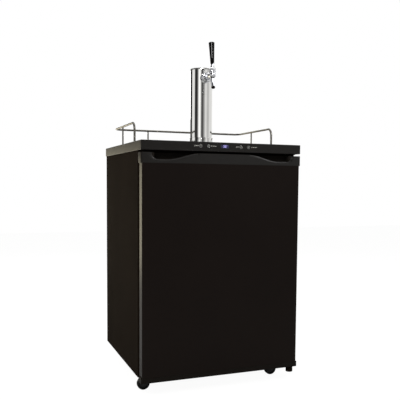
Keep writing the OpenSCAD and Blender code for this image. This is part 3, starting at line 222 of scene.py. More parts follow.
def makeFinish(name, light, dark, patch, grain, rough, relief, stretch=(1, 1, 1), cells=False,
               **sockets):
    mat = bpy.data.materials.new(name)
    mat.use_nodes = True
    tree = mat.node_tree
    shader = tree.nodes["Principled BSDF"]
    for socket, value in sockets.items():
        shader.inputs[socket.replace("_", " ")].default_value = value
    place = addNode(tree, "ShaderNodeTexCoord")
    spread = addNode(tree, "ShaderNodeMapping", values={"Scale": stretch},
                     links={"Vector": place.outputs["Object"]})
    drift = addNode(tree, "ShaderNodeTexNoise", values={"Scale": 1000 / patch, "Detail": 3.0},
                    links={"Vector": place.outputs["Object"]})
    if cells:
        fine = addNode(tree, "ShaderNodeTexVoronoi", values={"Scale": 1000 / grain},
                       links={"Vector": spread.outputs[0]})
        fineOut = fine.outputs["Color"]
    else:
        fine = addNode(tree, "ShaderNodeTexNoise", values={"Scale": 1000 / grain, "Detail": 4.0},
                       links={"Vector": spread.outputs[0]})
        fineOut = fine.outputs["Fac"]
    tone = addNode(tree, "ShaderNodeMix", values={6: colour(dark), 7: colour(light)},
                   links={0: drift.outputs["Fac"]}, data_type="RGBA")
    tree.links.new(tone.outputs[2], shader.inputs["Base Color"])
    gloss = addNode(tree, "ShaderNodeMapRange", values={"To Min": rough[0], "To Max": rough[1]},
                    links={"Value": fineOut})
    tree.links.new(gloss.outputs[0], shader.inputs["Roughness"])
    if relief:
        bump = addNode(tree, "ShaderNodeBump", values={"Strength": 0.6, "Distance": relief * mm},
                       links={"Height": fineOut})
        tree.links.new(bump.outputs[0], shader.inputs["Normal"])
    return mat


finishes = {
    # moulded with a fine spark grain, so it is dull and even
    "mouldedAbs": makeFinish("moulded ABS", "#15120f", "#0f0d0b", 80, 0.9, (0.34, 0.44), 0.02,
                             Specular_IOR_Level=0.22),
    # the same moulding inside the finger scoops, with a rougher grain and almost no sheen so the pockets
    # render dull and nearly black: painted shade
    "scoopShadeAbs": makeFinish("scoop shade ABS", "#1e1b18", "#171512", 60, 1.4, (0.75, 0.9), 0.05,
                            Specular_IOR_Level=0.03),
    # baked powder with a slight orange peel, duller than the door
    "powderCoat": makeFinish("powder coated steel", "#1f1913", "#16110d", 160, 1.8, (0.80, 0.92), 0.03,
                             Specular_IOR_Level=0.01),
    # the door's cap, rubbed smoother by fingers, so its lips catch the light
    "rubbedAbs": makeFinish("rubbed ABS", "#14110e", "#0e0c0a", 24, 0.9, (0.27, 0.35), 0.006,
                            Specular_IOR_Level=0.26),
    # the door's foot and the cap's ends: a duller, slightly darker copy of the moulded ABS with less sheen,
    # painted shade there
    "endShadeAbs": makeFinish("end shade ABS", "#15110d", "#0f0c09", 40, 1.2, (0.44, 0.56), 0.02,
                             Specular_IOR_Level=0.08),
    # roller coated sheet, smooth with a soft sheen
    "doorCoat": makeFinish("coated door steel", "#17110e", "#120d0b", 220, 1.2, (0.32, 0.40), 0.008,
                           Specular_IOR_Level=0.065),
    # bright plating that mirrors the room
    "chromePlate": makeFinish("chrome plate", "#dedfe2", "#d0d1d4", 40, 6, (0.03, 0.07), 0, Metallic=1.0),
    # drawn rail wire, greyer than the tap
    "railPlate": makeFinish("dull chrome rail", "#7f7c75", "#69665f", 30, 3, (0.36, 0.42), 0,
                            Metallic=1.0),
    # mechanically polished tube with faint lines along its length
    "polishedSteel": makeFinish("polished stainless steel", "#e6e5e2", "#d6d5d2", 60, 1.4, (0.03, 0.07),
                                0.001, stretch=(1, 1, 0.02), Metallic=1.0),
    # sheet brushed across its width, greyer and softer than the polished tube
    "brushedSteel": makeFinish("brushed stainless steel", "#a3a29f", "#8f8e8b", 50, 0.8, (0.28, 0.42),
                               0.004, stretch=(0.03, 1, 1), Metallic=1.0),
    # vacuum formed sheet, white with a low sheen
    "formedLiner": makeFinish("vacuum formed polystyrene", "#eef0ef", "#e4e6e5", 120, 2.2, (0.34, 0.44),
                              0.02),
    # extruded PVC, soft and dull
    "sealPvc": makeFinish("extruded PVC", "#0e0e0d", "#080808", 30, 1.0, (0.6, 0.72), 0.02,
                          Specular_IOR_Level=0.12),
    # moulded rubber with a bloom
    "mouldedRubber": makeFinish("moulded rubber", "#0f0f0e", "#090909", 18, 0.8, (0.55, 0.75), 0.03,
                                Specular_IOR_Level=0.2),
    # glass filled nylon, slightly streaky
    "blackNylon": makeFinish("glass filled nylon", "#121212", "#0b0b0b", 14, 0.7, (0.35, 0.5), 0.02,
                             Specular_IOR_Level=0.3),
    # compression moulded phenolic, buffed to a gloss
    "phenolic": makeFinish("buffed phenolic", "#050505", "#020202", 22, 4, (0.06, 0.10), 0,
                           Specular_IOR_Level=0.1),
    # hot dip zinc with a spangle
    "zincSheet": makeFinish("galvanised steel", "#b9bdbd", "#9da2a3", 26, 9, (0.34, 0.5), 0.004, cells=True,
                            Metallic=0.9),
    # bright zinc on small fasteners
    "zincPlate": makeFinish("zinc plated steel", "#c8c9c4", "#aeb0ab", 6, 1.0, (0.22, 0.34), 0.004,
                            Metallic=1.0),
    # sprayed enamel on the compressor's shell, with runs
    "shellEnamel": makeFinish("black enamel", "#141414", "#0b0b0b", 40, 5, (0.18, 0.3), 0.02),
    # drawn copper tube gone brown
    "copperTube": makeFinish("drawn copper", "#c07a4c", "#8f5534", 12, 2, (0.22, 0.4), 0, Metallic=1.0),
    # rigid foam with an open cut face
    "rigidFoam": makeFinish("polyurethane foam", "#e2d3a6", "#c9b683", 20, 1.6, (0.8, 0.95), 0.2),
    # satin turned aluminium
    "satinAluminium": makeFinish("satin aluminium", "#d2d2ce", "#bababa", 5, 0.5, (0.26, 0.4), 0.003,
                                 Metallic=1.0),
    # solder mask over copper tracks
    "solderMask": makeFinish("solder mask", "#2f6b3c", "#1f4d2a", 5, 1.4, (0.25, 0.4), 0.03, cells=True),
    # smoked acrylic over a lit display
    "smokedAcrylic": makeFinish("smoked acrylic", "#15132e", "#0d0c1e", 9, 5, (0.06, 0.1), 0,
                                Emission_Color=colour("#4338c8"), Emission_Strength=0.06),
    # bare brass inside the spout, coloured brown black as painted shade in the bore and on the mouth's end
    "boreShadeBrass": makeFinish("bore shade brass", "#17110b", "#0a0705", 6, 1.5, (0.5, 0.7), 0.01,
                               Specular_IOR_Level=0.2),
    # pale ink printed on the moulding
    "printInk": makeFinish("pale printed ink", "#e4e2da", "#d4d2ca", 6, 0.6, (0.5, 0.6), 0.002),
    # lit segments behind the window
    "litDigits": makeFinish("lit segments", "#8f8bb8", "#817dac", 4, 1, (0.3, 0.4), 0,
                            Emission_Color=colour("#b8b0ff"), Emission_Strength=0.95),
}
finishOf = {
    "mouldedAbs": ["worktop", "bay_cover", "drip_tray", "door_top_cap"],
    # the door's foot takes the duller copy of the moulding that paints shade towards the bottom
    "endShadeAbs": ["door_bottom_cap"],
    "powderCoat": ["left_side_panel", "right_side_panel", "front_frame", "upper_hinge", "lower_hinge",
                   "base_pan", "condenser"],
    "doorCoat": ["door_skin"],
    "railPlate": ["guard_rail", "rail_collars"],
    "chromePlate": ["shank", "shank_collar", "shank_nut", "coupling_nut",
                    "faucet_body", "faucet_bonnet", "tap_lever", "handle_ferrule"],
    "polishedSteel": ["tower_flange", "tower_screws", "tower_column", "drink_line", "faucet_shaft"],
    "brushedSteel": ["tower_cap", "drip_grate"],
    "formedLiner": ["inner_liner", "evaporator_cover", "door_liner"],
    "sealPvc": ["door_gasket"],
    "mouldedRubber": ["compressor_mounts", "gas_grommet", "cord_gland"],
    "blackNylon": ["fan_motor", "fan_rotor"],
    "phenolic": ["tap_handle"],
    "zincSheet": ["keg_platform", "back_panel"],
    "zincPlate": ["cabinet_screws"],
    "shellEnamel": ["compressor"],
    "rigidFoam": ["insulation", "door_foam"],
    "satinAluminium": ["power_button", "light_button", "raise_button", "lower_button"],
    "solderMask": ["control_board"],
    "smokedAcrylic": ["display_window"],
}
corners = ["front_left", "front_right", "rear_left", "rear_right"]
finishOf["blackNylon"] += [c + "_fork" for c in corners]
finishOf["mouldedRubber"] += [c + "_wheel" for c in corners]
for finish, names in finishOf.items():
    for name in names:
        slots = nodes[name].material_slots
        if slots:
            for slot in slots:
                slot.material = finishes[finish]
        else:
            nodes[name].data.materials.append(finishes[finish])
print("finishes on", sum(len(n) for n in finishOf.values()), "nodes")

# Mesh making. Shapes are given in millimetres in a local frame and put in place by a matrix.


def joinRings(bm, low, high, tone):
    if len(low) == 1 and len(high) == 1:
        return
    count = max(len(low), len(high))
    for i in range(count):
        j = (i + 1) % count
        if len(low) == 1:
            face = bm.faces.new((low[0], high[j], high[i]))
        elif len(high) == 1:
            face = bm.faces.new((low[i], low[j], high[0]))
        else:
            face = bm.faces.new((low[i], low[j], high[j], high[i]))
        face.material_index = tone


def turn(bm, profile, place, steps=64, flute=None, tone=0):
    rings = []
    for k, (radius, height) in enumerate(profile):
        if radius < 1e-6:
            rings.append([bm.verts.new(place @ Vector((0, 0, height * mm)))])
            continue
        ring = []
        for i in range(steps):
            angle = 2 * math.pi * i / steps
            reach = (radius + (flute(angle, k) if flute else 0)) * mm
            spot = Vector((reach * math.cos(angle), reach * math.sin(angle), height * mm))
            ring.append(bm.verts.new(place @ spot))
        rings.append(ring)
    for low, high in zip(rings, rings[1:]):
        joinRings(bm, low, high, tone)


def plate(bm, outline, place, thick, tone=0):
    low = [bm.verts.new(place @ Vector((x * mm, y * mm, 0))) for x, y in outline]
    high = [bm.verts.new(place @ Vector((x * mm, y * mm, thick * mm))) for x, y in outline]
    joinRings(bm, low, high, tone)
    for ring in (low[::-1], high):
        bm.faces.new(ring).material_index = tone


def roundedOutline(w, h, r, steps=6):
    points = []
    for cx, cy, start in ((1, 1, 0), (-1, 1, 90), (-1, -1, 180), (1, -1, 270)):
        for i in range(steps + 1):
            a = math.radians(start + 90 * i / steps)
            points.append((cx * (w / 2 - r) + r * math.cos(a), cy * (h / 2 - r) + r * math.sin(a)))
    return points


def bend(bm, points, radius, steps=16, tone=0):
    # a tube along a smooth line through the points
    spots = [Vector(p) * mm for p in points]
    line = []
    for i in range(len(spots) - 1):
        a, b, c, d = (spots[min(max(k, 0), len(spots) - 1)] for k in (i - 1, i, i + 1, i + 2))
        for s in range(8):
            t = s / 8
            line.append(0.5 * (2 * b + (c - a) * t + (2 * a - 5 * b + 4 * c - d) * t * t
                               + (3 * b - a - 3 * c + d) * t ** 3))
    line.append(spots[-1])
    side = None
    rings = []
    for i, spot in enumerate(line):
        ahead = (line[min(i + 1, len(line) - 1)] - line[max(i - 1, 0)]).normalized()
        if side is None:
            side = ahead.orthogonal().normalized()
        side = (side - ahead * side.dot(ahead)).normalized()
        up = ahead.cross(side)
        rings.append([bm.verts.new(spot + radius * mm * (side * math.cos(2 * math.pi * k / steps)
                                                        + up * math.sin(2 * math.pi * k / steps)))
                      for k in range(steps)])
    for low, high in zip(rings, rings[1:]):
        joinRings(bm, low, high, tone)
    for ring in (rings[0][::-1], rings[-1]):
        bm.faces.new(ring).material_index = tone


def asObject(bm, name, tones, sharp=32):
    bmesh.ops.remove_doubles(bm, verts=bm.verts, dist=1e-7)
    bmesh.ops.recalc_face_normals(bm, faces=bm.faces)
    for face in bm.faces:
        face.smooth = True
    for edge in bm.edges:
        edge.smooth = len(edge.link_faces) == 2 and edge.calc_face_angle(0) < math.radians(sharp)
    mesh = bpy.data.meshes.new(name)
    bm.to_mesh(mesh)
    bm.free()
    for tone in tones:
        mesh.materials.append(finishes[tone])
    piece = bpy.data.objects.new(name, mesh)
    scene.collection.objects.link(piece)
    return piece


def makePiece(bm, name, tones, body, replaced=(), sharp=32):
    piece = asObject(bm, name, tones, sharp)
    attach(piece, body)
    if replaced:
        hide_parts(*replaced)
    return piece


def settle(piece):
    # applies the modifiers of a new piece
    bpy.context.view_layer.update()
    graph = bpy.context.evaluated_depsgraph_get()
    done = bpy.data.meshes.new_from_object(piece.evaluated_get(graph))
    piece.modifiers.clear()
    piece.data = done


def cutAway(piece, cutter, crossing=False):
    cut = piece.modifiers.new("cut", "BOOLEAN")
    cut.operation = "DIFFERENCE"
    cut.solver = "EXACT"
    cut.use_self = crossing  # for a cutter whose own pieces cross
    cut.object = cutter
    settle(piece)
    bpy.data.objects.remove(cutter)


def roundEdges(piece, width, segments):
    soft = piece.modifiers.new("soft edges", "BEVEL")
    soft.width, soft.segments, soft.limit_method = width * mm, segments, "ANGLE"


def softenEdges(name, width, segments=3, limit=40):
    piece = nodes[name]
    weld = piece.modifiers.new("weld", "WELD")
    weld.merge_threshold = 0.002 * mm
    flats = piece.modifiers.new("merge flats", "DECIMATE")
    flats.decimate_type = "DISSOLVE"
    flats.angle_limit = math.radians(0.4)
    soft = piece.modifiers.new("soft edges", "BEVEL")
    soft.width = width * mm
    soft.segments = segments
    soft.limit_method = "ANGLE"
    soft.angle_limit = math.radians(limit)
    soft.use_clamp_overlap = False
    soft.miter_outer = "MITER_ARC"
    soft.harden_normals = True
    even = piece.modifiers.new("even faces", "TRIANGULATE")
    even.ngon_method = "BEAUTY"
    even.keep_custom_normals = True


faceFront = Matrix.Rotation(math.radians(90), 4, "X")  # local +Z to -Y
faceBack = Matrix.Rotation(math.radians(-90), 4, "X")  # local +Z to +Y


def at(x, y, z, turned=None):
    return Matrix.Translation((x * mm, y * mm, z * mm)) @ (turned or Matrix.Identity(4))


# Soft edges on the moulded and folded pieces

softEdges = {"worktop": 1.1, "door_bottom_cap": 1.2, "drip_tray": 0.6, "drip_grate": 0.3,
             "left_side_panel": 0.5, "right_side_panel": 0.5, "front_frame": 0.35, "door_liner": 0.8,
             "keg_platform": 0.8, "upper_hinge": 0.4, "lower_hinge": 0.5, "cord_gland": 0.6,
             "gas_grommet": 0.6, "bay_cover": 0.5, "display_window": 0.4, "tower_flange": 0.5,
             "fan_motor": 1.0, "compressor_mounts": 1.2, "back_panel": 0.3, "base_pan": 0.35}
for name, width in softEdges.items():
    softenEdges(name, width)
print("edges softened on", len(softEdges), "nodes")

# Door cap: the CAD shape, its front wall dished back towards each finger scoop

doorCap = {"lip": 1.5, "lipSteps": 4, "edge": 1.2, "edgeSteps": 3, "sharp": 35,
           "flare": 10.0, "dish": 3.2, "grid": 2.5, "skin": 0.05, "ends": 20.0}


def addDoorCap(look):
    source = nodes["door_top_cap"]
    bm = bmesh.new()
    bm.from_mesh(source.data)
    bm.transform(source.matrix_world)
    bmesh.ops.remove_doubles(bm, verts=bm.verts, dist=0.002 * mm)
    bmesh.ops.dissolve_limit(bm, angle_limit=math.radians(0.4), verts=bm.verts, edges=bm.edges)
    low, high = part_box("door_top_cap")
    flare, skin = look["flare"] * mm, look["skin"] * mm

    def sharpEdges():
        return [e for e in bm.edges
                if len(e.link_faces) == 2 and e.calc_face_angle(0) > math.radians(look["sharp"])]

    def onLip(edge):
        inside = all(v.co.y < low.y + skin and low.z + 2 * mm < v.co.z
                     and abs(v.co.x) < high.x - look["ends"] * mm for v in edge.verts)
        return inside and min(v.co.z for v in edge.verts) < high.z - 0.5 * mm

    lips = [e for e in sharpEdges() if onLip(e)]
    spans = [tuple(v.co.xz for v in e.verts) for e in lips]
    print("door cap lip edges:", len(lips))
    bmesh.ops.bevel(bm, geom=lips, offset=look["lip"] * mm, segments=look["lipSteps"], profile=0.5,
                    affect="EDGES", clamp_overlap=True)
    bmesh.ops.bevel(bm, geom=sharpEdges(), offset=look["edge"] * mm, segments=look["edgeSteps"],
                    profile=0.5, affect="EDGES", clamp_overlap=True)

    def fromLip(spot):
        near = flare
        for a, b in spans:
            along = max(0, min(1, (spot - a).dot(b - a) / (b - a).length_squared))
            near = min(near, (spot - a.lerp(b, along)).length)
        return near

    # a grid over the front wall round the scoops, then the dish
    reach = max(abs(p.x) for span in spans for p in span) + flare
    cuts = [(0, -reach, reach), (2, low.z + 3 * mm, high.z - 2 * mm)]
    for axis, first, last in cuts:
        count = round((last - first) / (look["grid"] * mm))
        for i in range(count + 1):
            spot, across = Vector(), Vector()
            spot[axis], across[axis] = first + (last - first) * i / count, 1
            front = [f for f in bm.faces if f.normal.y < -0.99 and f.verts[0].co.y < low.y + skin]
            edges = {e for f in front for e in f.edges}
            verts = {v for f in front for v in f.verts}
            bmesh.ops.bisect_plane(bm, geom=front + list(edges) + list(verts), dist=1e-6, plane_co=spot,
                                   plane_no=across)
    dished = set()
    for vert in bm.verts:
        if vert.co.y < low.y + look["lip"] * mm + skin and abs(vert.co.x) < reach:
            away = fromLip(vert.co.xz)
            if away < flare:
                vert.co.y += look["dish"] * mm * (1 - away / flare) ** 2
                dished.add(vert)
    bmesh.ops.triangulate(bm, faces=[f for f in bm.faces if dished.intersection(f.verts)])
    for face in bm.faces:
        spot = face.calc_center_median()
        inside = abs(spot.x) < reach and low.z + 1 * mm < spot.z < high.z - 0.5 * mm
        # faces deep inside the finger scoops take the painted-shade finish
        if inside and low.y + (look["dish"] + look["lip"]) * mm < spot.y < high.y - 3 * mm:
            face.material_index = 1
        # the cap's end faces take the duller copy of the moulding that paints shade on the ends
        elif abs(face.normal.x) > 0.6 and abs(spot.x) > high.x - 2 * mm:
            face.material_index = 2
    makePiece(bm, "door_cap_with_scoops", ["rubbedAbs", "scoopShadeAbs", "endShadeAbs"], "door",
              ["door_top_cap"])


addDoorCap(doorCap)
print("door cap made")

# Door seal: a bellows section mitred at its corners

doorSeal = {"section": [  # inward and back from the seal's front corner
    (0, 0), (18, 0), (18, 2.6), (15.4, 3.2), (13.6, 5.2), (16.4, 7.8), (14.2, 10.4), (16.2, 12.4),
    (18, 13.6), (18, 19.4), (17, 20.4), (10.4, 20.4), (9.6, 19.8), (8.4, 19.8), (7.6, 20.4), (1, 20.4),
    (0, 19.4), (0, 13.6), (1.8, 12.4), (3.8, 10.4), (1.6, 7.8), (4.4, 5.2), (2.6, 3.2), (0, 2.6),
]}


def addDoorSeal(look):
    low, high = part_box("door_gasket")
    bm = bmesh.new()
    loops = []
    for sx, sz in ((-1, -1), (1, -1), (1, 1), (-1, 1)):
        loop = []
        for inward, deep in look["section"]:
            x = (high.x if sx > 0 else low.x) - sx * inward * mm
            z = (high.z if sz > 0 else low.z) - sz * inward * mm
            loop.append(bm.verts.new((x, low.y + deep * mm, z)))
        loops.append(loop)
    for i in range(4):
        joinRings(bm, loops[i], loops[(i + 1) % 4], 0)
    makePiece(bm, "door_seal", ["sealPvc"], "door", ["door_gasket"])


addDoorSeal(doorSeal)
print("door seal made")

# Screws with cross recesses

screwKinds = {
    "cabinet_screw_heads": {"replaced": "cabinet_screws", "tone": "zincPlate", "slot": "galvanised",
                            "head": 4.0, "rise": 2.4, "shank": 2.0, "length": 10.0,
                            "cross": (4.4, 1.0, 1.3)},
    "tower_screw_heads": {"replaced": "tower_screws", "tone": "polishedSteel", "slot": "polished_steel",
                          "head": 4.6, "rise": 3.0, "shank": 2.5, "length": 18.0,
                          "cross": (5.2, 1.2, 1.6)},
}
towerRing = {"radius": 51.5, "y": -50, "z": 894}
backRows = {"x": 288, "y": 268, "z": 300, "pitch": 142, "count": 4}
hingeScrews = {"x": 283, "y": -241, "apart": 8, "heights": (846.5, 78)}


def screwPlaces(kind):
    if kind == "tower_screw_heads":
        r, y, z = towerRing["radius"], towerRing["y"], towerRing["z"]
        for i in range(4):
            a = math.radians(45 + 90 * i)
            yield at(r * math.cos(a), y + r * math.sin(a), z, Matrix.Rotation(a, 4, "Z"))
        return
    for side in (-1, 1):
        for i in range(backRows["count"]):
            yield at(side * backRows["x"], backRows["y"], backRows["z"] + (i + 0.5) * backRows["pitch"],
                     faceBack)
        for z in hingeScrews["heights"]:
            yield at(hingeScrews["x"] + side * hingeScrews["apart"], hingeScrews["y"], z, faceFront)


def addScrews(name, look):
    bm, cuts = bmesh.new(), bmesh.new()
    head, rise = look["head"], look["rise"]
    profile = [(0, rise), (head * 0.45, rise * 0.97), (head * 0.75, rise * 0.8), (head * 0.93, rise * 0.5),
               (head, rise * 0.15), (head, 0), (look["shank"], 0), (look["shank"], -look["length"]),
               (0, -look["length"])]
    span, bar, deep = look["cross"]
    for place in screwPlaces(name):
        turn(bm, profile, place, 32)
        for w, h in ((span, bar), (bar, span)):
            plate(cuts, roundedOutline(w, h, bar * 0.2, 2), place @ at(0, 0, rise - deep), deep + 1)
    bmesh.ops.recalc_face_normals(cuts, faces=cuts.faces)
    piece = makePiece(bm, name, [look["tone"]], "cabinet", [look["replaced"]])
    cutter = asObject(cuts, name + "_cutter", [look["tone"]])
    cutAway(piece, cutter, crossing=True)


for name, look in screwKinds.items():
    addScrews(name, look)
print("screws made")

# Tap

# the bore radius, the bore's top and the mouth level bound the spout faces that get painted shade
tap = {"axis": 1144, "lever": -168, "pivot": 1161, "lean": -7, "spoutLean": -19, "spoutBack": 8,
       "voxel": 0.55, "ease": 14, "boreShadeRadius": 6.25, "boreShadeTop": -10, "mouth": -47.8,
       "nut": -122, "notch": 2.0, "knurl": 0.3}
leverPlace = at(0, tap["lever"], tap["pivot"], Matrix.Rotation(math.radians(tap["lean"]), 4, "X"))
spoutPlace = at(0, tap["lever"] + tap["spoutBack"], tap["axis"],
                Matrix.Rotation(math.radians(tap["spoutLean"]), 4, "X"))


def addFaucet(look):
    y, z = look["lever"], look["axis"]
    bm = bmesh.new()
    barrel = [(0, 0), (11.4, 0), (12.2, 8), (11.8, 22), (10.8, 36), (11.0, 44), (13.2, 50.2), (13.2, 56),
              (0, 56)]
    turn(bm, barrel, at(0, y, z, faceBack), 96)
    ball = [(12.6 * math.sin(math.radians(a)), 12.6 * math.cos(math.radians(a))) for a in range(0, 181, 9)]
    turn(bm, [(max(r, 0), h) for r, h in ball], at(0, y, z), 96)
    turn(bm, [(0, 0), (11.4, 0), (11.4, 12), (0, 12)], at(0, y, z), 96)
    spout = [(0, -52), (6.7, -52), (7.0, -51.4), (7.0, -48), (6.6, -47), (6.8, -33), (8.0, -15), (9.6, 0),
             (0, 0)]
    turn(bm, spout, spoutPlace, 96)
    piece = asObject(bm, "faucet_casting", ["chromePlate"])
    melt = piece.modifiers.new("melt", "REMESH")
    melt.mode = "VOXEL"
    melt.voxel_size = look["voxel"] * mm
    melt.use_smooth_shade = True
    ease = piece.modifiers.new("ease", "SMOOTH")
    ease.factor = 0.5
    ease.iterations = look["ease"]
    settle(piece)
    bores = [
        ([(0, -60), (6.5, -60), (6.1, -51), (6.0, -40), (4.5, -34), (4.5, 2), (0, 2)], spoutPlace),
        ([(0, -9.3), (6.8, -9.3), (6.8, 70), (0, 70)], at(0, y, z, faceBack)),
        ([(0, 0), (7.3, 0), (7.3, 20), (0, 20)], at(0, y, z)),
    ]
    for profile, place in bores:
        bm = bmesh.new()
        turn(bm, profile, place, 64)
        cutAway(piece, asObject(bm, "bore", ["chromePlate"]))
    # the spout's bore and the mouth's end get the near-black brass finish: painted shade
    piece.data.materials.append(finishes["boreShadeBrass"])
    inward = spoutPlace.inverted()
    for face in piece.data.polygons:
        face.use_smooth = True
        spot = inward @ face.center
        inBore = spot.z < look["boreShadeTop"] * mm and math.hypot(spot.x, spot.y) < look["boreShadeRadius"] * mm
        if inBore or spot.z < look["mouth"] * mm:
            face.material_index = 1
    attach(piece, "cabinet")
    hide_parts("faucet_body")

    # coupling nut with spanner notches, knurled bonnet
    bm = bmesh.new()

    def notch(angle, k):
        near = abs((math.degrees(angle) % 45) - 22.5)
        return -look["notch"] if 3 <= k <= 6 and near < 5 else 0

    nut = [(11.1, 0), (15.8, 0), (17.0, 0.6), (17.5, 1.8), (17.5, 3.4), (17.5, 14.6), (17.5, 16.2),
           (17.0, 17.4), (15.8, 18), (11.1, 18), (11.1, 0)]
    turn(bm, nut, at(0, look["nut"], z, faceBack), 144, notch)
    makePiece(bm, "notched_coupling_nut", ["chromePlate"], "cabinet", ["coupling_nut"], 40)
    bm = bmesh.new()

    def knurl(angle, k):
        return look["knurl"] * math.cos(30 * angle) if 3 <= k <= 4 else 0

    cap = [(9.0, 0), (11.4, 0), (11.9, 0.5), (11.7, 2.2), (11.7, 7.4), (11.9, 8.4), (11.4, 10.2),
           (10.2, 11.6), (9.4, 12), (9.0, 11.6), (9.0, 0)]
    turn(bm, cap, at(0, y, z + 12), 180, knurl)
    makePiece(bm, "knurled_bonnet", ["chromePlate"], "cabinet", ["faucet_bonnet"], 40)

    # ferrule and handle on the lever
    bm = bmesh.new()
    collar = [(4.1, 0), (6.9, 0), (7.4, 0.5), (7.4, 3.4), (6.8, 4.0), (6.8, 4.9), (7.2, 5.5), (7.0, 7),
              (6.5, 12), (6.2, 12.9), (4.1, 12.9), (4.1, 0)]
    turn(bm, collar, leverPlace @ at(0, 0, 12), 72)
    makePiece(bm, "lever_ferrule", ["chromePlate"], "tap_lever", ["handle_ferrule"])
    bm = bmesh.new()
    grip = [(0, 0.1), (6.6, 0.1), (7.2, 0.6), (7.3, 2.4), (7.0, 2.9), (7.0, 3.5), (7.4, 4.0), (8.2, 21),
            (9.4, 46), (10.8, 73), (11.2, 76.6), (11.0, 78), (10.3, 78.8), (9.2, 79), (7.8, 78.7),
            (0, 78.4)]
    turn(bm, grip, leverPlace @ at(0, 0, 25), 72)
    makePiece(bm, "lever_handle", ["phenolic"], "tap_lever", ["tap_handle"], 40)


addFaucet(tap)
print("tap made")

# Buttons, their marks and the display

controls = {"front": -296.0, "height": 873.7, "mark": 0.12,
            "buttons": {"power_button": -91.0, "light_button": -61.5,
                        "raise_button": 61.5, "lower_button": 91.0},
            "digit": (4.4, 7.4, 0.95)}


def band(cx, cz, inner, outer, start, end, steps=20):
    sweep = [math.radians(start + (end - start) * i / steps) for i in range(steps + 1)]
    ring = [(cx + outer * math.cos(a), cz + outer * math.sin(a)) for a in sweep]
    return ring + [(cx + inner * math.cos(a), cz + inner * math.sin(a)) for a in reversed(sweep)]


def bar(cx, cz, w, h):
    left, right, low, high = cx - w / 2, cx + w / 2, cz - h / 2, cz + h / 2
    return [(left, low), (right, low), (right, high), (left, high)]


def arrow(cx, cz, w, way):
    foot = cz - way * w * 0.3
    return [(cx - w / 2, foot), (cx + w / 2, foot), (cx, cz + way * w * 0.5)][::way]


def powerMark(cx, s):
    return [band(cx, 0, s * 0.72, s, 120, 420), bar(cx, s * 0.62, s * 0.3, s * 0.9)]


def lampMark(cx, s):
    rays = []
    for i in range(8):
        a = math.radians(45 * i)
        tip = Matrix.Rotation(a, 2)
        ray = bar(s * 0.86, 0, s * 0.32, s * 0.16)
        rays.append([tuple(Vector((cx, 0)) + tip @ Vector(p)) for p in ray])
    return [band(cx, 0, 0.02, s * 0.5, 0, 359)] + rays


def addControls(look):
    front = look["front"]
    marks = {"power_button": powerMark(0, 2.0), "light_button": lampMark(0, 2.4),
             "raise_button": [arrow(0, 0, 3.6, 1)], "lower_button": [arrow(0, 0, 3.6, -1)]}
    for name, x in look["buttons"].items():
        place = at(x, front + 0.4, look["height"], faceFront)
        bm = bmesh.new()
        rim = [(0, -5.4), (7.5, -5.4), (7.5, -4.2), (5.5, -4.2), (5.5, -0.5), (5.2, -0.1), (4.9, 0),
               (4.5, -0.1), (4.3, -0.4)]
        turn(bm, rim, place, 64, tone=0)
        turn(bm, [(4.3, -0.4), (3.0, -0.55), (0, -0.6)], place, 64, tone=1)
        for outline in marks[name]:
            plate(bm, outline, place @ at(0, 0, -0.7), 0.25, tone=2)
        makePiece(bm, name + "_cap", ["satinAluminium", "mouldedAbs", "printInk"], name,
                  [name])

    # printed marks beside the buttons
    bm = bmesh.new()
    place = at(0, front + 0.02, look["height"], faceFront)
    rows = [powerMark(-113.4, 1.9), [bar(-106.6, 0, 6.4, 1.5)], [bar(-100.6, 0, 2.4, 1.5)],
            lampMark(-49.6, 2.3), [bar(-43.2, 0, 5.6, 1.5)], [bar(-36.2, 0, 4.4, 1.5)],
            [arrow(43.4, 0, 3.4, 1)], [bar(50.0, 0, 5.6, 1.5)],
            [arrow(103.6, 0, 3.4, -1)], [bar(111.0, 0, 6.6, 1.5)], [bar(120.0, 0, 6.0, 1.5)]]
    for row in rows:
        for outline in row:
            plate(bm, outline, place, look["mark"])
    makePiece(bm, "printed_marks", ["printInk"], "cabinet")

    # display digits
    bm = bmesh.new()
    w, h, t = look["digit"]
    place = at(0, front + 0.36, look["height"], faceFront)
    segments = {"a": (0, h / 2, w - t, t), "g": (0, 0, w - t, t), "d": (0, -h / 2, w - t, t),
                "b": (w / 2, h / 4, t, h / 2 - t * 0.6), "c": (w / 2, -h / 4, t, h / 2 - t * 0.6),
                "f": (-w / 2, h / 4, t, h / 2 - t * 0.6), "e": (-w / 2, -h / 4, t, h / 2 - t * 0.6)}
    for cx, lit in ((-4.6, "abgcd"), (2.2, "abcdefg")):
        for key in lit:
            sx, sz, sw, sh = segments[key]
            plate(bm, bar(cx + sx, sz, sw, sh), place, 0.1)
    plate(bm, band(7.6, 3.0, 0.6, 1.15, 0, 359), place, 0.1)
    makePiece(bm, "display_digits", ["litDigits"], "cabinet")


addControls(controls)
print("controls made")

# Casters: a nylon hub in a rubber tread, and nylon caps on the axle

caster = {"hub": 16.0, "wheel": 23.0, "half": 9.0, "rim": 7.2, "bore": 3.06, "legOut": 13.2,
          "places": {"front_left": (-273, -204), "front_right": (237, -204),
                     "rear_left": (-237, 233), "rear_right": (273, 233)}}


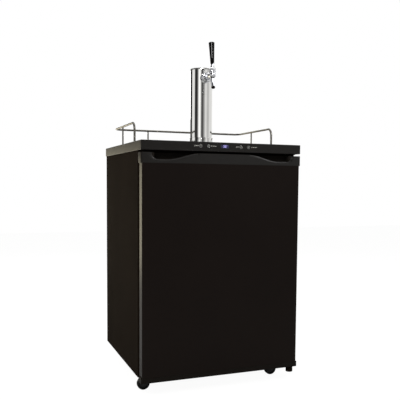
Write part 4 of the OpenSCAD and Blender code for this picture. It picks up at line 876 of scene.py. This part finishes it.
def addCasters(look):
    out, hub, half, rim, bore = (look[k] for k in ("wheel", "hub", "half", "rim", "bore"))
    tread = [(hub, -rim), (hub + 1.2, -half), (out - 3, -half), (out - 1, -half + 0.9),
             (out - 0.15, -half + 3), (out, -half + 4.4), (out, -0.9), (out - 0.6, -0.4), (out - 0.6, 0.4),
             (out, 0.9), (out, half - 4.4), (out - 0.15, half - 3), (out - 1, half - 0.9), (out - 3, half),
             (hub + 1.2, half), (hub, rim), (hub, -rim)]
    core = [(bore, -half), (6.6, -half), (7, -half + 0.4), (7, -6.6), (14.6, -6.2), (hub - 0.05, -rim),
            (hub - 0.05, rim), (14.6, 6.2), (7, 6.6), (7, half - 0.4), (6.6, half), (bore, half),
            (bore, -half)]
    cap = [(0, 2.4), (2.4, 2.3), (3.6, 2.0), (4.2, 1.4), (4.4, 0.6), (4.4, 0), (0, 0)]
    for name, (x, y) in look["places"].items():
        centre = at(x, y, out, faceBack)
        bm = bmesh.new()
        turn(bm, tread, centre, 72, tone=0)
        turn(bm, core, centre, 72, tone=1)
        wheel = name + "_wheel"
        makePiece(bm, name + "_tyre", ["mouldedRubber", "blackNylon"], wheel, [wheel])
        bm = bmesh.new()
        for side, face in ((1, faceBack), (-1, faceFront)):
            turn(bm, cap, at(x, y + side * look["legOut"], out, face), 32)
        makePiece(bm, name + "_axle_caps", ["blackNylon"], name + "_fork")


addCasters(caster)
print("casters made")

# Rear: terminal cover, shell seam, copper tubes and drier

rear = {"shell": (60, 191, 82), "radius": 70, "seam": 86,
        "cover": (40, 46, 30), "drier": (150, 280.5, 818)}


def addColdUnit(look):
    x, y, z = look["shell"]
    r = look["radius"]
    bm = bmesh.new()
    turn(bm, [(r - 1, 0), (r + 2.6, 0.4), (r + 3, 1), (r + 3, 3.4), (r + 2.6, 4), (r - 1, 4.4), (r - 1, 0)],
         at(x, y, z + look["seam"]), 96)
    makePiece(bm, "shell_seam", ["shellEnamel"], "cabinet")
    bm = bmesh.new()
    w, h, deep = look["cover"]
    faceLeft = Matrix.Rotation(math.radians(-90), 4, "Y")
    plate(bm, roundedOutline(w, h, 4), at(x - r + 8, y, z + 48, faceLeft), deep)
    cover = makePiece(bm, "terminal_cover", ["blackNylon"], "cabinet")
    roundEdges(cover, 2.0, 3)
    bm = bmesh.new()
    bend(bm, [(x - 30, y - 50, z + 110), (x - 46, y - 60, z + 130), (x - 60, y - 60, z + 170),
              (x - 60, y - 60, z + 218)], 4.0)
    bend(bm, [(x + 30, y + 52, z + 96), (x + 40, y + 64, z + 104), (x + 42, y + 66, z + 130),
              (x + 42, y + 66, z + 150)], 3.0)
    makePiece(bm, "copper_lines", ["copperTube"], "cabinet")
    bm = bmesh.new()
    drier = [(0, 0), (2.5, 0), (2.6, 6), (5, 10), (8.5, 15), (8.5, 58), (5, 63), (2.4, 67), (1.6, 74),
             (0, 74)]
    x, y, z = look["drier"]
    turn(bm, drier, at(x, y, z, Matrix.Rotation(math.radians(90), 4, "Y")), 40)
    bend(bm, [(x + 72, y, z), (x + 84, y, z - 2), (x + 90, y - 1.5, z - 12), (x + 90, y - 5.5, z - 22),
              (x + 90, y - 12.9, z - 26)], 1.5, 12)
    makePiece(bm, "filter_drier", ["copperTube"], "cabinet")


addColdUnit(rear)
print("cold unit dressed")

# Inside: shelf beads on the liner and a locating bead on the platform

cabinInside = {"wall": 258, "heights": (330, 520, 700), "reach": (-190, 40), "rise": 4.0}


def addLinerBeads(look):
    bm = bmesh.new()
    half = (look["reach"][1] - look["reach"][0]) / 2
    middle = (look["reach"][1] + look["reach"][0]) / 2
    for side in (-1, 1):
        face = Matrix.Rotation(math.radians(-90 * side), 4, "Y")
        for height in look["heights"]:
            place = at(side * look["wall"], middle, height, face)
            plate(bm, roundedOutline(14, 2 * half, 6.9), place, look["rise"])
    beads = makePiece(bm, "liner_beads", ["formedLiner"], "cabinet")
    roundEdges(beads, 2.4, 4)
    bm = bmesh.new()
    bead = [(121.8, -0.2), (122.6, 0.7), (124, 1.2), (125.4, 0.7), (126.2, -0.2), (121.8, -0.2)]
    turn(bm, bead, at(0, -85, 120), 120)
    makePiece(bm, "platform_bead", ["zincSheet"], "cabinet")


addLinerBeads(cabinInside)
print("inside dressed")
